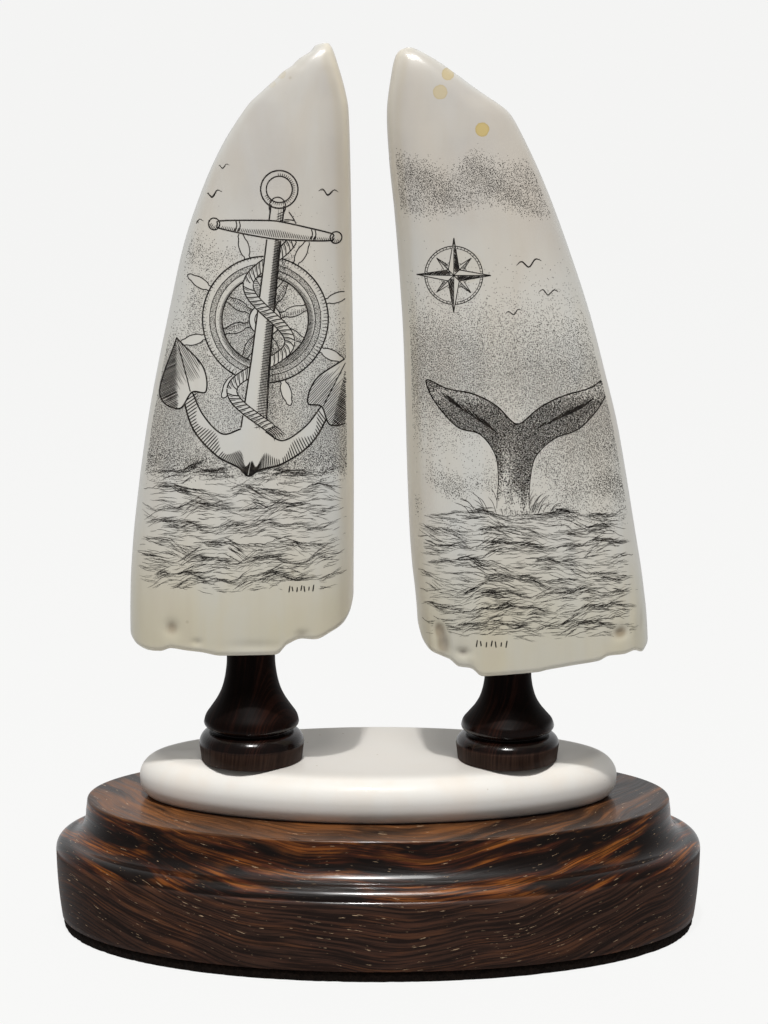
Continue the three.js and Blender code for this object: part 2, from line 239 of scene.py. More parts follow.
class Tooth:
    """One tooth's surface. Its own x runs from the pedestal's axis, away from the other tooth."""

    def __init__(self, sizes, side, seat_x, seat_z, forward, neck):
        self.height, self.width = sizes.height / MM, sizes.width / MM
        self.thickness = sizes.thickness / MM
        self.tilt = math.tan(sizes.seat_tilt)
        self.side, self.seat_x, self.seat_z, self.forward = side, seat_x, seat_z, forward
        self.seat = neck + SEAT_MARGIN
        self.outer, self.inner, self.root = ((LEFT_OUTER, LEFT_INNER, LEFT_ROOT) if side < 0
                                             else (RIGHT_OUTER, RIGHT_INNER, RIGHT_ROOT))
        self.hollows = LEFT_HOLLOWS if side < 0 else RIGHT_HOLLOWS

    def root_height(self, x):
        """The slope of the seat, and past the flat of the seat the uneven edge of the root."""
        away = smoothstep(np.abs(x), self.seat, self.seat + SEAT_BLEND)
        return self.tilt * x + away * np.maximum(0, share(self.root, x / self.width)) * self.height

    def fade(self, z):
        """How much of the root's unevenness is left at a height."""
        return 1 - smoothstep(z / self.height, 0, ROOT_BLEND)

    def edge(self, rows, z):
        """Where an edge is at a height, read where the uneven root lifts it to."""
        lift = self.root_height(share(rows, z / self.height) * self.width) * self.fade(z)
        return share(rows, (z + lift) / self.height) * self.width

    def section(self, z, inset=0.0):
        """Middle, half width and half thickness of the section at each height."""
        out = self.edge(self.outer, z) - inset
        inner = self.edge(self.inner, z) + inset
        half_thick = share(THICKNESS, z / self.height) * self.thickness / 2 - inset
        return (out + inner) / 2, (out - inner) / 2, half_thick

    def dent(self, x, z):
        """Depth of the small hollows of the root: bell-shaped dips, each (x, z, half width, half
        height, depth) in the world."""
        depth = np.zeros(np.shape(x))
        for cx, cz, wide, high, deep in self.hollows:
            depth += deep * np.exp(-((x - cx) / wide) ** 2 - ((z - cz) / high) ** 2)
        return depth

    def front(self, x_world, z_world):
        """Y of the front face under a point of the picture: the height is taken back through the lift
        of the root, then |across|^n + |y/t|^n = 1."""
        x = (x_world - self.seat_x) * self.side
        target = z_world - self.seat_z
        z = target.copy()
        for _ in range(12):
            z = target - self.root_height(x) * self.fade(z)
        z = np.clip(z, 0, self.height)
        middle, half, half_thick = self.section(z)
        across = np.clip(np.abs(x - middle) / half, 0, 0.9995)
        y = half_thick * (1 - across ** FRONT_SQUARENESS) ** (1 / FRONT_SQUARENESS)
        return self.forward - y + self.dent(x_world, z_world)

    def limits(self, z_world):
        """Leftmost and rightmost x of the tooth at a height, in the world."""
        middle, half, _ = self.section(np.clip(z_world - self.seat_z, 0, self.height))
        a, b = self.seat_x + self.side * (middle - half), self.seat_x + self.side * (middle + half)
        return np.minimum(a, b), np.maximum(a, b)

    def foot(self, x_world):
        """Height of the root's edge below a place, in the world."""
        return self.seat_z + self.root_height((x_world - self.seat_x) * self.side)

    def grid(self):
        """Rings up the tooth: from inner to outer edge in front, and back behind. The first rows round
        the edge of the root, z = r(1 - cos) and inset = r(1 - sin). The next are close together over
        the uneven root, wider apart above it, and crowd towards the tip."""
        turn = np.radians(np.linspace(0, 90, 9))
        h = self.height
        z = np.concatenate([ROOT_EDGE * (1 - np.cos(turn)), np.linspace(ROOT_EDGE, 26, 56)[1:],
                            np.linspace(26, 0.93 * h, 108)[1:],
                            h * (1 - 0.07 * (1 - np.linspace(0, 1, 37)[1:]) ** 1.7)])
        inset = np.concatenate([ROOT_EDGE * (1 - np.sin(turn)), np.zeros(len(z) - len(turn))])
        across = np.sin(np.linspace(-np.pi / 2, np.pi / 2, 101))
        middle, half, half_thick = (a[:, None] for a in self.section(z, inset))
        front = -half_thick * (1 - np.abs(across) ** FRONT_SQUARENESS) ** (1 / FRONT_SQUARENESS)
        back = half_thick * (1 - np.abs(across) ** BACK_SQUARENESS) ** (1 / BACK_SQUARENESS)
        x = middle + half * across
        lifted = z[:, None] + self.root_height(x) * self.fade(z)[:, None]
        x = np.concatenate([x, x[:, -2:0:-1]], 1)
        y = np.concatenate([front, back[:, -2:0:-1]], 1)
        z_all = np.concatenate([lifted, lifted[:, -2:0:-1]], 1)
        xw = self.seat_x + self.side * x
        zw = self.seat_z + z_all
        facing = np.clip(-y / half_thick, 0, 1)
        yw = self.forward + y + self.dent(xw, zw) * facing
        rings = np.stack([xw, yw, zw], axis=-1)
        if self.side < 0:
            rings = np.concatenate([rings[:, :1], rings[:, :0:-1]], 1)
        return rings

    def caps(self, levels, count):
        """Strips between the front and the back of the last ring at each end, which keep it as flat
        across as the ring is."""
        half = count // 2
        a = np.arange(half)
        b, c, d = a + 1, (count - a) % count, (count - a - 1) % count
        top = (levels - 1) * count
        first, last = a == 0, a == half - 1
        inner = ~first & ~last
        quads = np.concatenate([np.stack([a, c, d, b], 1)[inner],
                                top + np.stack([a, b, d, c], 1)[inner]])
        tris = np.concatenate([np.stack([a, d, b], 1)[first], np.stack([a, c, b], 1)[last],
                               top + np.stack([a, b, d], 1)[first], top + np.stack([a, b, c], 1)[last]])
        return quads, tris


# Pictures

def curve(points, count=40):
    """A smooth line through control points: Catmull-Rom pieces, each point pulled by its neighbours."""
    p = np.array(points, float)
    p = np.concatenate([[2 * p[0] - p[1]], p, [2 * p[-1] - p[-2]]])
    t = np.linspace(0, len(p) - 3 - 1e-9, count)
    k = t.astype(int)
    f = (t - k)[:, None]
    a, b, c, d = p[k], p[k + 1], p[k + 2], p[k + 3]
    square, cube = 2 * a - 5 * b + 4 * c - d, 3 * b - a - 3 * c + d
    return 0.5 * (2 * b + (c - a) * f + square * f ** 2 + cube * f ** 3)


def inside(points, polygon):
    """Even-odd rule: a point is inside where a ray to the right crosses the outline an odd number of
    times."""
    x, y = points[:, 0][:, None], points[:, 1][:, None]
    x0, y0 = polygon[:, 0], polygon[:, 1]
    x1, y1 = np.roll(x0, -1), np.roll(y0, -1)
    rise = np.where(y1 == y0, 1e-9, y1 - y0)
    crosses = ((y0 > y) != (y1 > y)) & (x < (x1 - x0) * (y - y0) / rise + x0)
    return crosses.sum(1) % 2 == 1


def runs(keep):
    """First place and end of each run of True."""
    cuts = np.flatnonzero(np.diff(np.concatenate([[0], keep.astype(int), [0]])))
    return zip(cuts[::2], cuts[1::2])


def circle(count, closed=False):
    """Points of a circle of radius 1."""
    angle = np.linspace(0, 2 * np.pi, count, endpoint=closed)
    return np.stack([np.cos(angle), np.sin(angle)], 1)


class Picture:
    """Strokes and dots drawn from front to back: what a finished shape covers is left out."""

    def __init__(self, tooth, seed, margin=1.6):
        self.tooth, self.margin = tooth, margin
        self.random = np.random.default_rng(seed)
        self.strokes, self.dots, self.shapes = [], [], []

    def shown(self, points):
        """True where a point lies on the face of the tooth and under no shape."""
        low, high = self.tooth.limits(points[:, 1])
        keep = (points[:, 0] > low + self.margin) & (points[:, 0] < high - self.margin)
        keep &= points[:, 1] > self.tooth.foot(points[:, 0]) + 2 * self.margin
        for shape in self.shapes:
            box = ((points > shape.min(0)) & (points < shape.max(0))).all(1) & keep
            keep[box] &= ~inside(points[box], shape)
        return keep

    def line(self, points, width, start=0.5, end=0.5):
        """A stroke resampled every 0.35 mm, thinned towards its ends, and broken where it is hidden."""
        p = np.array(points, float)
        run = np.concatenate([[0], np.cumsum(np.hypot(*np.diff(p, axis=0).T))])
        at = np.linspace(0, run[-1], max(3, int(run[-1] / 0.35) + 1))
        p = np.stack([np.interp(at, run, p[:, 0]), np.interp(at, run, p[:, 1])], 1)
        s = at / run[-1]
        head = start + (1 - start) * np.clip(s * 5, 0, 1)
        tail = end + (1 - end) * np.clip((1 - s) * 5, 0, 1)
        w = width * head * tail
        for a, b in runs(self.shown(p)):
            if b - a >= 2:
                self.strokes.append((p[a:b], w[a:b]))

    def outline(self, polygon, width):
        self.line(np.concatenate([polygon, polygon[:1]]), width, 1, 1)

    def shape(self, polygon):
        self.shapes.append(np.array(polygon, float))

    def stipple(self, box, gap, density, radius):
        """Dots on a jittered grid, each kept with the chance that density gives for its place."""
        x, z = np.meshgrid(np.arange(box[0], box[2], gap), np.arange(box[1], box[3], gap))
        p = np.stack([x.ravel(), z.ravel()], 1)
        p += self.random.uniform(-0.62, 0.62, p.shape) * gap
        chance = np.clip(density(p[:, 0], p[:, 1]), 0, 1)
        p = p[self.random.random(len(p)) < chance]
        p = p[self.shown(p)]
        radii = radius * self.random.uniform(0.7, 1.25, len(p))
        self.dots.append(np.concatenate([p, radii[:, None]], 1))

    def hatch(self, polygon, gap, angle, width, reach=None):
        """Parallel strokes at an angle, kept inside a polygon."""
        poly = np.array(polygon, float)
        middle = poly.mean(0)
        size = np.hypot(*(poly.max(0) - poly.min(0))) / 2
        along = np.array([math.cos(angle), math.sin(angle)])
        aside = np.array([-along[1], along[0]])
        for offset in np.arange(-size, size, gap):
            offset += self.random.uniform(-0.15, 0.15) * gap
            t = np.arange(-size, size, 0.3)
            p = middle + aside * offset + along * t[:, None]
            for a, b in runs(inside(p, poly)):
                if b - a < 3:
                    continue
                q = p[a:b]
                if reach is not None:
                    q = q[:max(3, int(len(q) * reach * self.random.uniform(0.75, 1.1)))]
                self.line(q, width * self.random.uniform(0.8, 1.15), 0.8, 0.3)

    def sea(self, top, bottom, rows, low, high, crests):
        """Rows of waves: each row is a sum of two sines. Short fine strokes hang under it, steeper than
        its own slope and closest at its crests, and a broken darker line runs along it."""
        for k in range(rows):
            level = top + (bottom - top) * k / (rows - 1)
            a, b = self.random.uniform(0, TURN, 2)
            long_wave, short_wave = self.random.uniform(15, 24), self.random.uniform(6, 9)
            way = self.random.choice([-1, 1])

            def swell(x):
                slow, quick = np.sin(x / long_wave * TURN + a), np.sin(x / short_wave * TURN + b)
                return crests * (slow + 0.4 * quick)

            for _ in range(int((high - low) * 11)):
                x0 = self.random.uniform(low - 2, high)
                crest = float(swell(x0) / crests + 1.4) / 2.8
                if self.random.random() > 0.26 + 0.6 * crest:
                    continue
                length = self.random.uniform(1.3, 4.8)
                drop = min(self.random.exponential(1.35), 3.4) - 0.2
                slope = float(swell(x0 + 0.5) - swell(x0 - 0.5))
                lean = 1.1 * slope + way * self.random.uniform(-0.1, 0.5)
                run = np.linspace(0, length, 7)
                z = level + swell(x0) * (1 - 0.2 * drop) - drop
                z = z + lean * run - 0.04 * run * run * np.sign(lean)
                z += 0.07 * np.sin(run * 2.6 + x0)
                left, right = self.tooth.limits(z)
                ragged = self.margin + self.random.uniform(0, 2.2)
                if x0 < left[0] + ragged or x0 + length > right[-1] - ragged:
                    continue
                fine = self.random.uniform(0.045, 0.09) * (0.75 + 0.4 * crest)
                self.line(np.stack([x0 + run, z], 1), fine, 0.4, 0.15)
            x = np.linspace(low, high, 240)
            on = np.sin(x / 5.3 + a * 3) + 0.7 * np.sin(x / 2.9 + b) > 0.1
            for i, j in runs(on):
                if j - i > 3:
                    part = x[i:j]
                    z = level + swell(part) + 0.14 * np.sin(part * 3.1) + 0.06 * np.sin(part * 7.7)
                    self.line(np.stack([part, z], 1), 0.1, 0.2, 0.2)

    def mark(self, low, high, bottom, top):
        """A row of plain tally strokes."""
        for k, x in enumerate(np.linspace(low, high, 7)):
            lean = (0.25, -0.2, 0.1)[k % 3]
            self.line([[x, bottom + 0.25 * (k % 2)], [x + lean, top - 0.2 * (k % 3)]], 0.3, 0.8, 0.8)

    def build(self, name, finish):
        """Lays the strokes (ribbons of their width) and dots (pentagons) on the front of the tooth."""
        flat, quads, start = [], [], 0
        for p, w in self.strokes:
            way = np.gradient(p, axis=0)
            way /= np.maximum(np.hypot(way[:, 0], way[:, 1]), 1e-9)[:, None]
            aside = np.stack([-way[:, 1], way[:, 0]], 1) * w[:, None] / 2
            n = len(p)
            flat.append(np.concatenate([p + aside, p - aside]))
            i = np.arange(n - 1)
            quads.append(start + np.stack([n + i, n + i + 1, i + 1, i], 1))
            start += 2 * n
        dots = np.concatenate(self.dots)
        spin = np.radians(np.arange(5) * 72.0) + self.random.uniform(0, TURN, len(dots))[:, None]
        ring = dots[:, None, :2] + np.stack([np.cos(spin), np.sin(spin)], -1) * dots[:, None, 2:3]
        flat.append(ring.reshape(-1, 2))
        rounds = start + np.arange(len(dots) * 5).reshape(-1, 5)
        flat = np.concatenate(flat)
        y = self.tooth.front(flat[:, 0], flat[:, 1]) - INK_LIFT
        points = np.stack([flat[:, 0], y, flat[:, 1]], 1)
        faces = [np.concatenate(quads), rounds]
        uv = (flat - flat.min(0)) / (flat.max(0) - flat.min(0)) * 0.98 + 0.01
        loops = np.concatenate([f.ravel() for f in faces])
        return put_mesh(name, points, faces, finish, loop_uv=uv[loops])


def turned(points, angle, centre, size=1.0):
    """Points turned by an angle, scaled and moved."""
    p = np.array(points, float) * size
    c, s = math.cos(angle), math.sin(angle)
    return np.stack([p[:, 0] * c - p[:, 1] * s, p[:, 0] * s + p[:, 1] * c], 1) + centre


def gulls(art, places, width, shaded):
    """Gulls of one stroke, each (x, z, size, lean), some with a second stroke under it."""
    wings = curve([[-3.2, 0.6], [-1.8, 1.5], [-0.3, 0.0], [0.4, 0.1], [1.9, 1.7], [3.4, 1.1]], 30)
    under = curve([[-2.4, 0.9], [-1.5, 1.1], [-0.2, -0.35], [0.5, -0.2], [1.6, 1.1]], 20)
    for x, z, size, lean in places:
        art.line(turned(wings, lean, (x, z), size), width * size, 0.3, 0.3)
        if shaded:
            art.line(turned(under, lean, (x, z), size), 0.2 * size, 0.3, 0.3)


def anchor_picture(tooth):
    """An anchor with a rope wound round it, a ship's wheel behind, gulls, and the sea below."""
    art = Picture(tooth, 7)

    def place(points):
        return turned(points, -ANCHOR_LEAN, ANCHOR_AT)

    def upright(x, z):
        return turned(np.stack([x, z], 1) - ANCHOR_AT, ANCHOR_LEAN, (0, 0))

    # Rope: a winding line round the shank. Parts in front are drawn first, parts behind last.
    steps = 400
    t = np.linspace(0, 1, steps)
    swing = 6.6 * np.sin(t * math.pi * 4.2 + 0.5) * (0.6 + 0.5 * t)
    path = np.stack([swing + 0.8 * t, 55 - 52 * t], 1)
    way = np.gradient(path, axis=0)
    way /= np.hypot(way[:, 0], way[:, 1])[:, None]
    aside = np.stack([-way[:, 1], way[:, 0]], 1)
    run = np.concatenate([[0], np.cumsum(np.hypot(*np.diff(path, axis=0).T))])

    def rope(lo, hi):
        a, b = int(lo * steps), min(int(hi * steps), steps - 1)
        edge_a, edge_b = path[a:b] + aside[a:b] * 1.15, path[a:b] - aside[a:b] * 1.15
        art.line(place(edge_a), 0.26, 1, 1)
        art.line(place(edge_b), 0.3, 1, 1)
        for s in np.arange(run[a] + 0.6, run[b] - 0.6, 1.05):
            k0, k1 = np.searchsorted(run, s), np.searchsorted(run, s + 1.5)
            k1 = min(k1, steps - 1)
            ends = np.stack([path[k0] - aside[k0] * 1.1, path[(k0 + k1) // 2],
                             path[k1] + aside[k1] * 1.1])
            art.line(place(curve(ends, 8)), 0.26, 0.6, 0.9)
            art.line(place(curve(ends + way[k0] * 0.35 - aside[k0] * 0.1, 8)[:5]), 0.14, 0.6, 0.4)
        return place(np.concatenate([edge_a, edge_b[::-1]]))

    fronts = [(0.319, 0.557), (0.795, 0.95)]
    backs = [(0.0, 0.319), (0.557, 0.795)]
    frayed = 379
    for k in range(6):
        strand = path[frayed] + aside[frayed] * (0.4 * k - 1.0)
        loose = strand + way[frayed] * 2.6 + (0.25 * k - 0.4, -0.7)
        art.line(place([strand, strand + way[frayed] * 1.6, loose]), 0.2, 0.9, 0.3)
    for part in fronts:
        art.shape(rope(*part))

    # Ring, stock, shank, arms and palms, all in the anchor's own upright frame
    unit, eye = circle(60), (0, 60.6)
    for r, w in ((4.3, 0.34), (3.0, 0.3)):
        art.outline(place(unit * r + eye), w)
    for k in range(-6, 26):
        a = math.radians(k * 8.0 - 100)
        d = np.array([math.cos(a), math.sin(a)])
        art.line(place([d * 3.05 + eye, d * 3.75 + eye]), 0.16, 0.8, 0.3)
    stock = [[-13.4, 50.9], [-12.6, 51.9], [-2.4, 53.2], [2.4, 53.2], [12.6, 51.9], [13.4, 50.9],
             [12.6, 50.1], [2.4, 49.3], [-2.4, 49.3], [-12.6, 50.1]]
    stock = curve(stock + stock[:1], 90)
    art.outline(place(stock), 0.34)
    for x in np.arange(-12.4, 12.6, 0.42):
        foot = 49.9 - 0.3 * math.exp(-(x / 3) ** 2)
        deep = 0.9 + 0.6 * math.exp(-(x / 4) ** 2)
        art.line(place([[x, foot], [x + 0.25, 49.9 + deep]]), 0.17, 0.9, 0.3)
    for x in (-9.2, -8.4, 8.4, 9.2):
        art.line(place(curve([[x, 50.0], [x + 0.35, 51.2], [x, 52.3]], 8)), 0.26, 0.9, 0.9)
    for side in (-1, 1):
        knob = unit * 1.35 + (side * 14.2, 50.95)
        art.outline(place(knob), 0.3)
        art.hatch(place(knob), 0.35, math.radians(60), 0.16, 0.6)
        art.shape(place(knob))
    art.shape(place(stock))
    shank = np.array([[-1.5, 57.0], [-1.75, 40], [-2.2, 20], [-2.9, 4], [2.9, 4], [2.2, 20], [1.75, 40],
                      [1.5, 57.0]])
    for s in (-1, 1):
        art.line(place([[s * 1.5, 57], [s * 1.75, 40], [s * 2.2, 20], [s * 2.9, 5]]), 0.36, 1, 1)
    for k, x in enumerate(np.linspace(0.25, 1.0, 7)):
        top = 56.5 - 1.5 * (k % 3)
        art.line(place([[x * 1.5, top], [x * 1.75, 40], [x * 2.2, 20], [x * 2.85, 5 + k % 2]]),
                 0.1 + 0.11 * x, 0.5, 0.5)
    for z in np.arange(6, 56, 0.62):
        half = np.interp(z, [4, 20, 40, 57], [2.9, 2.2, 1.75, 1.5])
        art.line(place([[half, z], [half * 0.05, z - 0.75]]), 0.17, 0.9, 0.2)
    for side in (-1, 1):
        palm = [[20.2, 23.6], [13.4, 18.2], [11.9, 12.4], [15.2, 11.7], [17.9, 7.4], [23.0, 10.2]]
        palm = curve([[a * side, b] for a, b in palm + palm[:1]], 70)
        art.outline(place(palm), 0.36)
        rib = curve([[side * 20.0, 23.0], [side * 17.2, 16.0], [side * 15.6, 11.8]], 20)
        art.line(place(rib), 0.26, 0.5, 1)
        half_palm = np.concatenate([rib, palm[::-1][:24]])
        art.hatch(place(half_palm), 0.33, math.radians(-35 * side - 6), 0.22)
        art.hatch(place(palm), 0.42, math.radians(52 * side - 6), 0.16, 0.75)
        art.shape(place(palm))
    low = [[-17.6, 11.2], [-14.0, 3.2], [-8.0, -2.2], [-2.6, -4.4], [0, -6.2], [2.6, -4.4], [8.0, -2.2],
           [14.0, 3.2], [17.6, 11.2]]
    high = [[15.4, 12.2], [12.0, 6.8], [7.2, 3.0], [2.9, 4.6], [0, 5.2], [-2.9, 4.6], [-7.2, 3.0],
            [-12.0, 6.8], [-15.4, 12.2]]
    arms = np.concatenate([curve(low, 80), curve(high, 80)])
    art.line(place(curve(low, 80)), 0.42, 1, 1)
    art.line(place(curve(high[:4], 30)), 0.34, 1, 1)
    art.line(place(curve(high[5:], 30)), 0.34, 1, 1)
    for a in np.linspace(0.02, 0.98, 92):
        p = curve(low, 100)[int(a * 99)]
        inward = np.array([-p[0] * 0.06, 1.0])
        inward /= np.hypot(*inward)
        art.line(place([p, p + inward * (2.6 + 1.1 * math.sin(a * 40)) + (0.3, 0)]), 0.24, 1, 0.2)
    art.shape(place(arms))
    art.shape(place(shank))
    shackle = unit * (1.9, 2.2) + (0, 56.6)
    art.outline(place(shackle), 0.28)
    art.shape(place(shackle))
    for part in backs:
        art.shape(rope(*part))

    # Ship's wheel behind the shank: spokes, handles, and the rings of its rim and hub
    hub = np.array([0.0, 30.5])
    rim = circle(181, closed=True)
    for k in range(8):
        a = math.radians(22.5 + 45 * k)
        spoke = [[3.6, 0.62], [5.0, 0.62], [5.6, 1.0], [7.5, 1.15], [9.2, 0.72], [10.0, 0.72]]
        handle = [[14.6, 0.72], [15.2, 0.55], [16.0, 1.0], [18.0, 1.15], [19.4, 0.72], [20.2, 0.62],
                  [20.8, 0.0]]
        for turning in (spoke, handle):
            edge = curve(turning, 24)
            for s in (1, -1):
                art.line(place(turned(edge * (1, s), a, hub)), 0.24, 1, 1)
            if turning is handle:
                art.shape(place(turned(np.concatenate([edge, edge[::-1] * (1, -1)]), a, hub)))
        for first, last, gap, low_end, high_end in ((4.0, 10.0, 0.45, -0.7, 0.15),
                                                    (15.4, 20.2, 0.4, -0.8, 0.2)):
            for d in np.arange(first, last, gap):
                art.line(place(turned([[d, low_end], [d + 0.3, high_end]], a, hub)), 0.15, 0.9, 0.3)
    for radius, w in ((14.6, 0.34), (12.9, 0.18), (11.6, 0.18), (10.0, 0.32), (3.7, 0.3), (2.4, 0.2)):
        art.line(place(rim * radius + hub), w, 1, 1)
    for k in range(220):
        a = 2 * math.pi * k / 220
        d = np.array([math.cos(a), math.sin(a)])
        shade_side = 0.5 + 0.5 * math.cos(a + 0.9)
        art.line(place([d * 10.05 + hub, d * (10.5 + 1.0 * shade_side) + hub]), 0.16, 1, 0.3)
        if k % 2:
            art.line(place([d * 14.55 + hub, d * (14.1 - 0.9 * shade_side) + hub]), 0.14, 1, 0.3)
    art.shape(place(rim * 3.7 + hub))
    gulls(art, ((-38.5, 181.0, 0.75, 0.1), (-42.6, 174.8, 0.6, -0.1), (-11.6, 181.5, 0.7, -0.15),
                (-50.3, 139.0, 0.7, 0.2), (-36.0, 187.5, 0.5, 0.05)), 0.34, True)

    def shade(x, z):
        """Haze over the horizon, cloud beside the anchor, and the tones of the wheel."""
        own = upright(x, z)
        halo = np.exp(-((np.abs(own[:, 0]) - 2.5) / 3.6) ** 2) * smoothstep(own[:, 1], 4, 16) * (
            1 - smoothstep(own[:, 1], 40, 60)) * (own[:, 0] > 0)
        haze = 1.15 * np.exp(-((z - 129) / 18) ** 2) * (0.55 + 0.45 * smoothstep(np.abs(x + 30), 6, 24))
        haze *= smoothstep(z, 112.5, 119.5)
        cloud = 0.5 * np.exp(-((z - 141 - 3 * np.sin(x / 5.0)) / 5.5) ** 2)
        cloud *= smoothstep(np.abs(x + 29), 12, 22)
        upper = 0.4 * np.exp(-((z - 166 - 2 * np.sin(x / 4.0)) / 3.6) ** 2)
        cloud += upper * smoothstep(-x - 30, 2, 10)
        rise = own[:, 1] - hub[1]
        far, bearing = np.hypot(own[:, 0], rise), np.arctan2(rise, own[:, 0])
        ring = 0.75 * np.exp(-((far - 16.6) / 2.3) ** 2) * (0.45 + 0.55 * np.sin(bearing - 2.4))
        hollow = 0.9 * (far < 10) * (0.4 + 0.6 * smoothstep(-own[:, 0] - own[:, 1] + hub[1], -8, 8))
        band = np.abs(far - 12.25) < 0.65
        return np.maximum.reduce([0.45 * halo + haze + cloud, ring, hollow, band])

    art.stipple((-60, 113, -4, 190), 0.215, shade, 0.082)

    def core(x, z):
        """The shadow close beside the shank, and the dark line of the horizon."""
        own = upright(x, z)
        return 0.8 * np.exp(-((np.abs(own[:, 0] - 2.6)) / 1.5) ** 2) * smoothstep(own[:, 1], 2, 9) * (
            1 - smoothstep(own[:, 1], 42, 52)) + 0.55 * np.exp(-((z - 119.5) / 2.6) ** 2)

    art.stipple((-60, 116, -4, 185), 0.27, core, 0.1)
    art.mark(-21.0, -15.4, 88.5, 90.1)
    art.shape(np.array([[-22.5, 87.5], [-14.0, 87.5], [-14.0, 91.2], [-22.5, 91.2]]))
    art.sea(117.5, 92.3, 7, -59, -5, 0.75)
    return art


def fluke_picture(tooth):
    """A band of cloud, a compass star, and a whale's tail over the sea."""
    art = Picture(tooth, 11)
    tail = [[-2.6, 0], [-2.9, 6], [-3.2, 12], [-4.6, 17], [-8.4, 21.0], [-13.8, 22.2], [-19.6, 27.6],
            [-21.8, 32.2], [-16.8, 30.8], [-10.6, 30.2], [-5.2, 28.0], [-1.4, 24.8], [0, 24.2],
            [1.4, 24.8], [5.2, 28.6], [10.4, 31.6], [16.4, 33.6], [21.6, 36.4], [20.2, 31.0],
            [15.0, 24.4], [9.0, 21.4], [5.2, 17.0], [4.4, 12], [4.6, 6], [5.0, 0]]
    body = turned(curve(tail, 220), -TAIL_LEAN, TAIL_AT)
    art.line(body[6:-8], 0.3, 0.4, 0.4)

    def upright(x, z):
        return turned(np.stack([x, z], 1) - TAIL_AT, TAIL_LEAN, (0, 0))

    def dark(x, z):
        """The tail's own tone: dark, with a light down its middle and along its upper edge."""
        p = upright(x, z)
        light = np.exp(-((p[:, 0] + 1.2) / 1.5) ** 2) * (1 - smoothstep(p[:, 1], 10, 24))
        rim = np.exp(-((p[:, 1] - 31 - 0.1 * p[:, 0]) / 1.6) ** 2) * 0.5
        tone = inside(np.stack([x, z], 1), body) * (0.98 - 0.7 * light - rim)
        return tone * smoothstep(p[:, 1] + 1.3 * np.sin(x * 1.7), 3.0, 11)

    art.stipple((6, 104, 60, 147), 0.175, dark, 0.11)
    for k in range(34):
        s = -1 if k % 2 else 1
        f = art.random.uniform(0.12, 0.95)
        root = np.array([s * (2.2 + 14 * f), 20.5 + 7.5 * f + (1.6 if s > 0 else 0)])
        sweep = np.array([[0, 0], [s * 1.8, 1.3], [s * 4.0, 3.4]]) * art.random.uniform(0.6, 1.0)
        p = turned(curve(root + sweep, 10), -TAIL_LEAN, TAIL_AT)
        if inside(p, body).all():
            art.line(p, 0.26, 0.5, 0.2)
    # The foot of the tail is left open for the waves.
    art.shape(body[upright(*body.T)[:, 1] > 3.4])
    # Compass star: four long points, then the four short ones behind them, each half hatched
    centre, r = np.array([17.6, 163.0]), 8.6
    for first, reach, waist, spread, width, gap, shade in ((0, 1.0, 0.21, 0.785, 0.2, 0.2, 0.2),
                                                           (1, 0.66, 0.2, 0.6, 0.17, 0.24, 0.16)):
        for k in range(first, 8, 2):
            a = math.radians(90 - 45 * k)
            tip, left, right = (centre + size * r * np.array([math.cos(b), math.sin(b)])
                                for size, b in ((reach, a), (waist, a + spread), (waist, a - spread)))
            art.outline(np.array([tip, left, centre]), width)
            art.outline(np.array([tip, right, centre]), width)
            art.hatch([tip, right, centre], gap, a + 0.5, shade)
            art.shape([tip, left, centre, right])
    for radius, w in ((0.78 * r, 0.2), (0.72 * r, 0.13), (0.36 * r, 0.13)):
        art.line(circle(121, closed=True) * radius + centre, w, 1, 1)
    for k in range(48):
        a = math.radians(7.5 * k)
        d = np.array([math.cos(a), math.sin(a)])
        art.line([d * 0.72 * r + centre, d * 0.78 * r + centre], 0.13, 1, 1)
    gulls(art, ((35.0, 165.0, 0.9, 0.1), (39.5, 158.5, 0.7, -0.1), (31.5, 154.0, 0.6, 0.15)), 0.36,
          False)

    def puffs(x, z):
        """The cloud band: round tops and flatter bottoms, from a few sines."""
        top = 190.5 + 1.6 * np.sin(x / 3.1) + 0.9 * np.sin(x / 1.7 + 1)
        low = 177.5 + 1.4 * np.sin(x / 4.3 + 2)
        within = smoothstep(z, low - 1.5, low + 3.5) * (1 - smoothstep(z, top - 5, top + 1.0))
        return 0.85 * within * (0.78 + 0.22 * np.sin(x / 2.3 + z / 1.9))

    art.stipple((1, 172, 46, 195), 0.2, puffs, 0.08)

    def haze(x, z):
        """Haze beside the tail and above it."""
        right = smoothstep(x, 30, 50) * np.exp(-((z - 129) / 18) ** 2)
        left = (1 - smoothstep(x, 16, 28)) * np.exp(-((z - 141) / 12) ** 2)
        near = 0.85 * np.exp(-((x - 31) / 18) ** 2) * np.exp(-((z - 141) / 12) ** 2)
        return 0.86 * np.clip(right + left + near, 0, 1)

    art.stipple((3, 104, 64, 172), 0.205, haze, 0.08)

    def foam(x, z):
        """Clumps of foam where the tail leaves the water."""
        clumps = np.sin(x / 2.1 + 1.3 * np.sin(z / 3.0)) + np.sin(z / 1.9 + x / 4.7)
        clumps = (clumps + np.sin(x / 5.9 - z / 2.2)) / 3
        band = np.exp(-((z - 113 - 0.06 * (x - 30)) / 6.5) ** 2)
        return np.clip(0.2 + 1.15 * clumps, 0, 1) * band

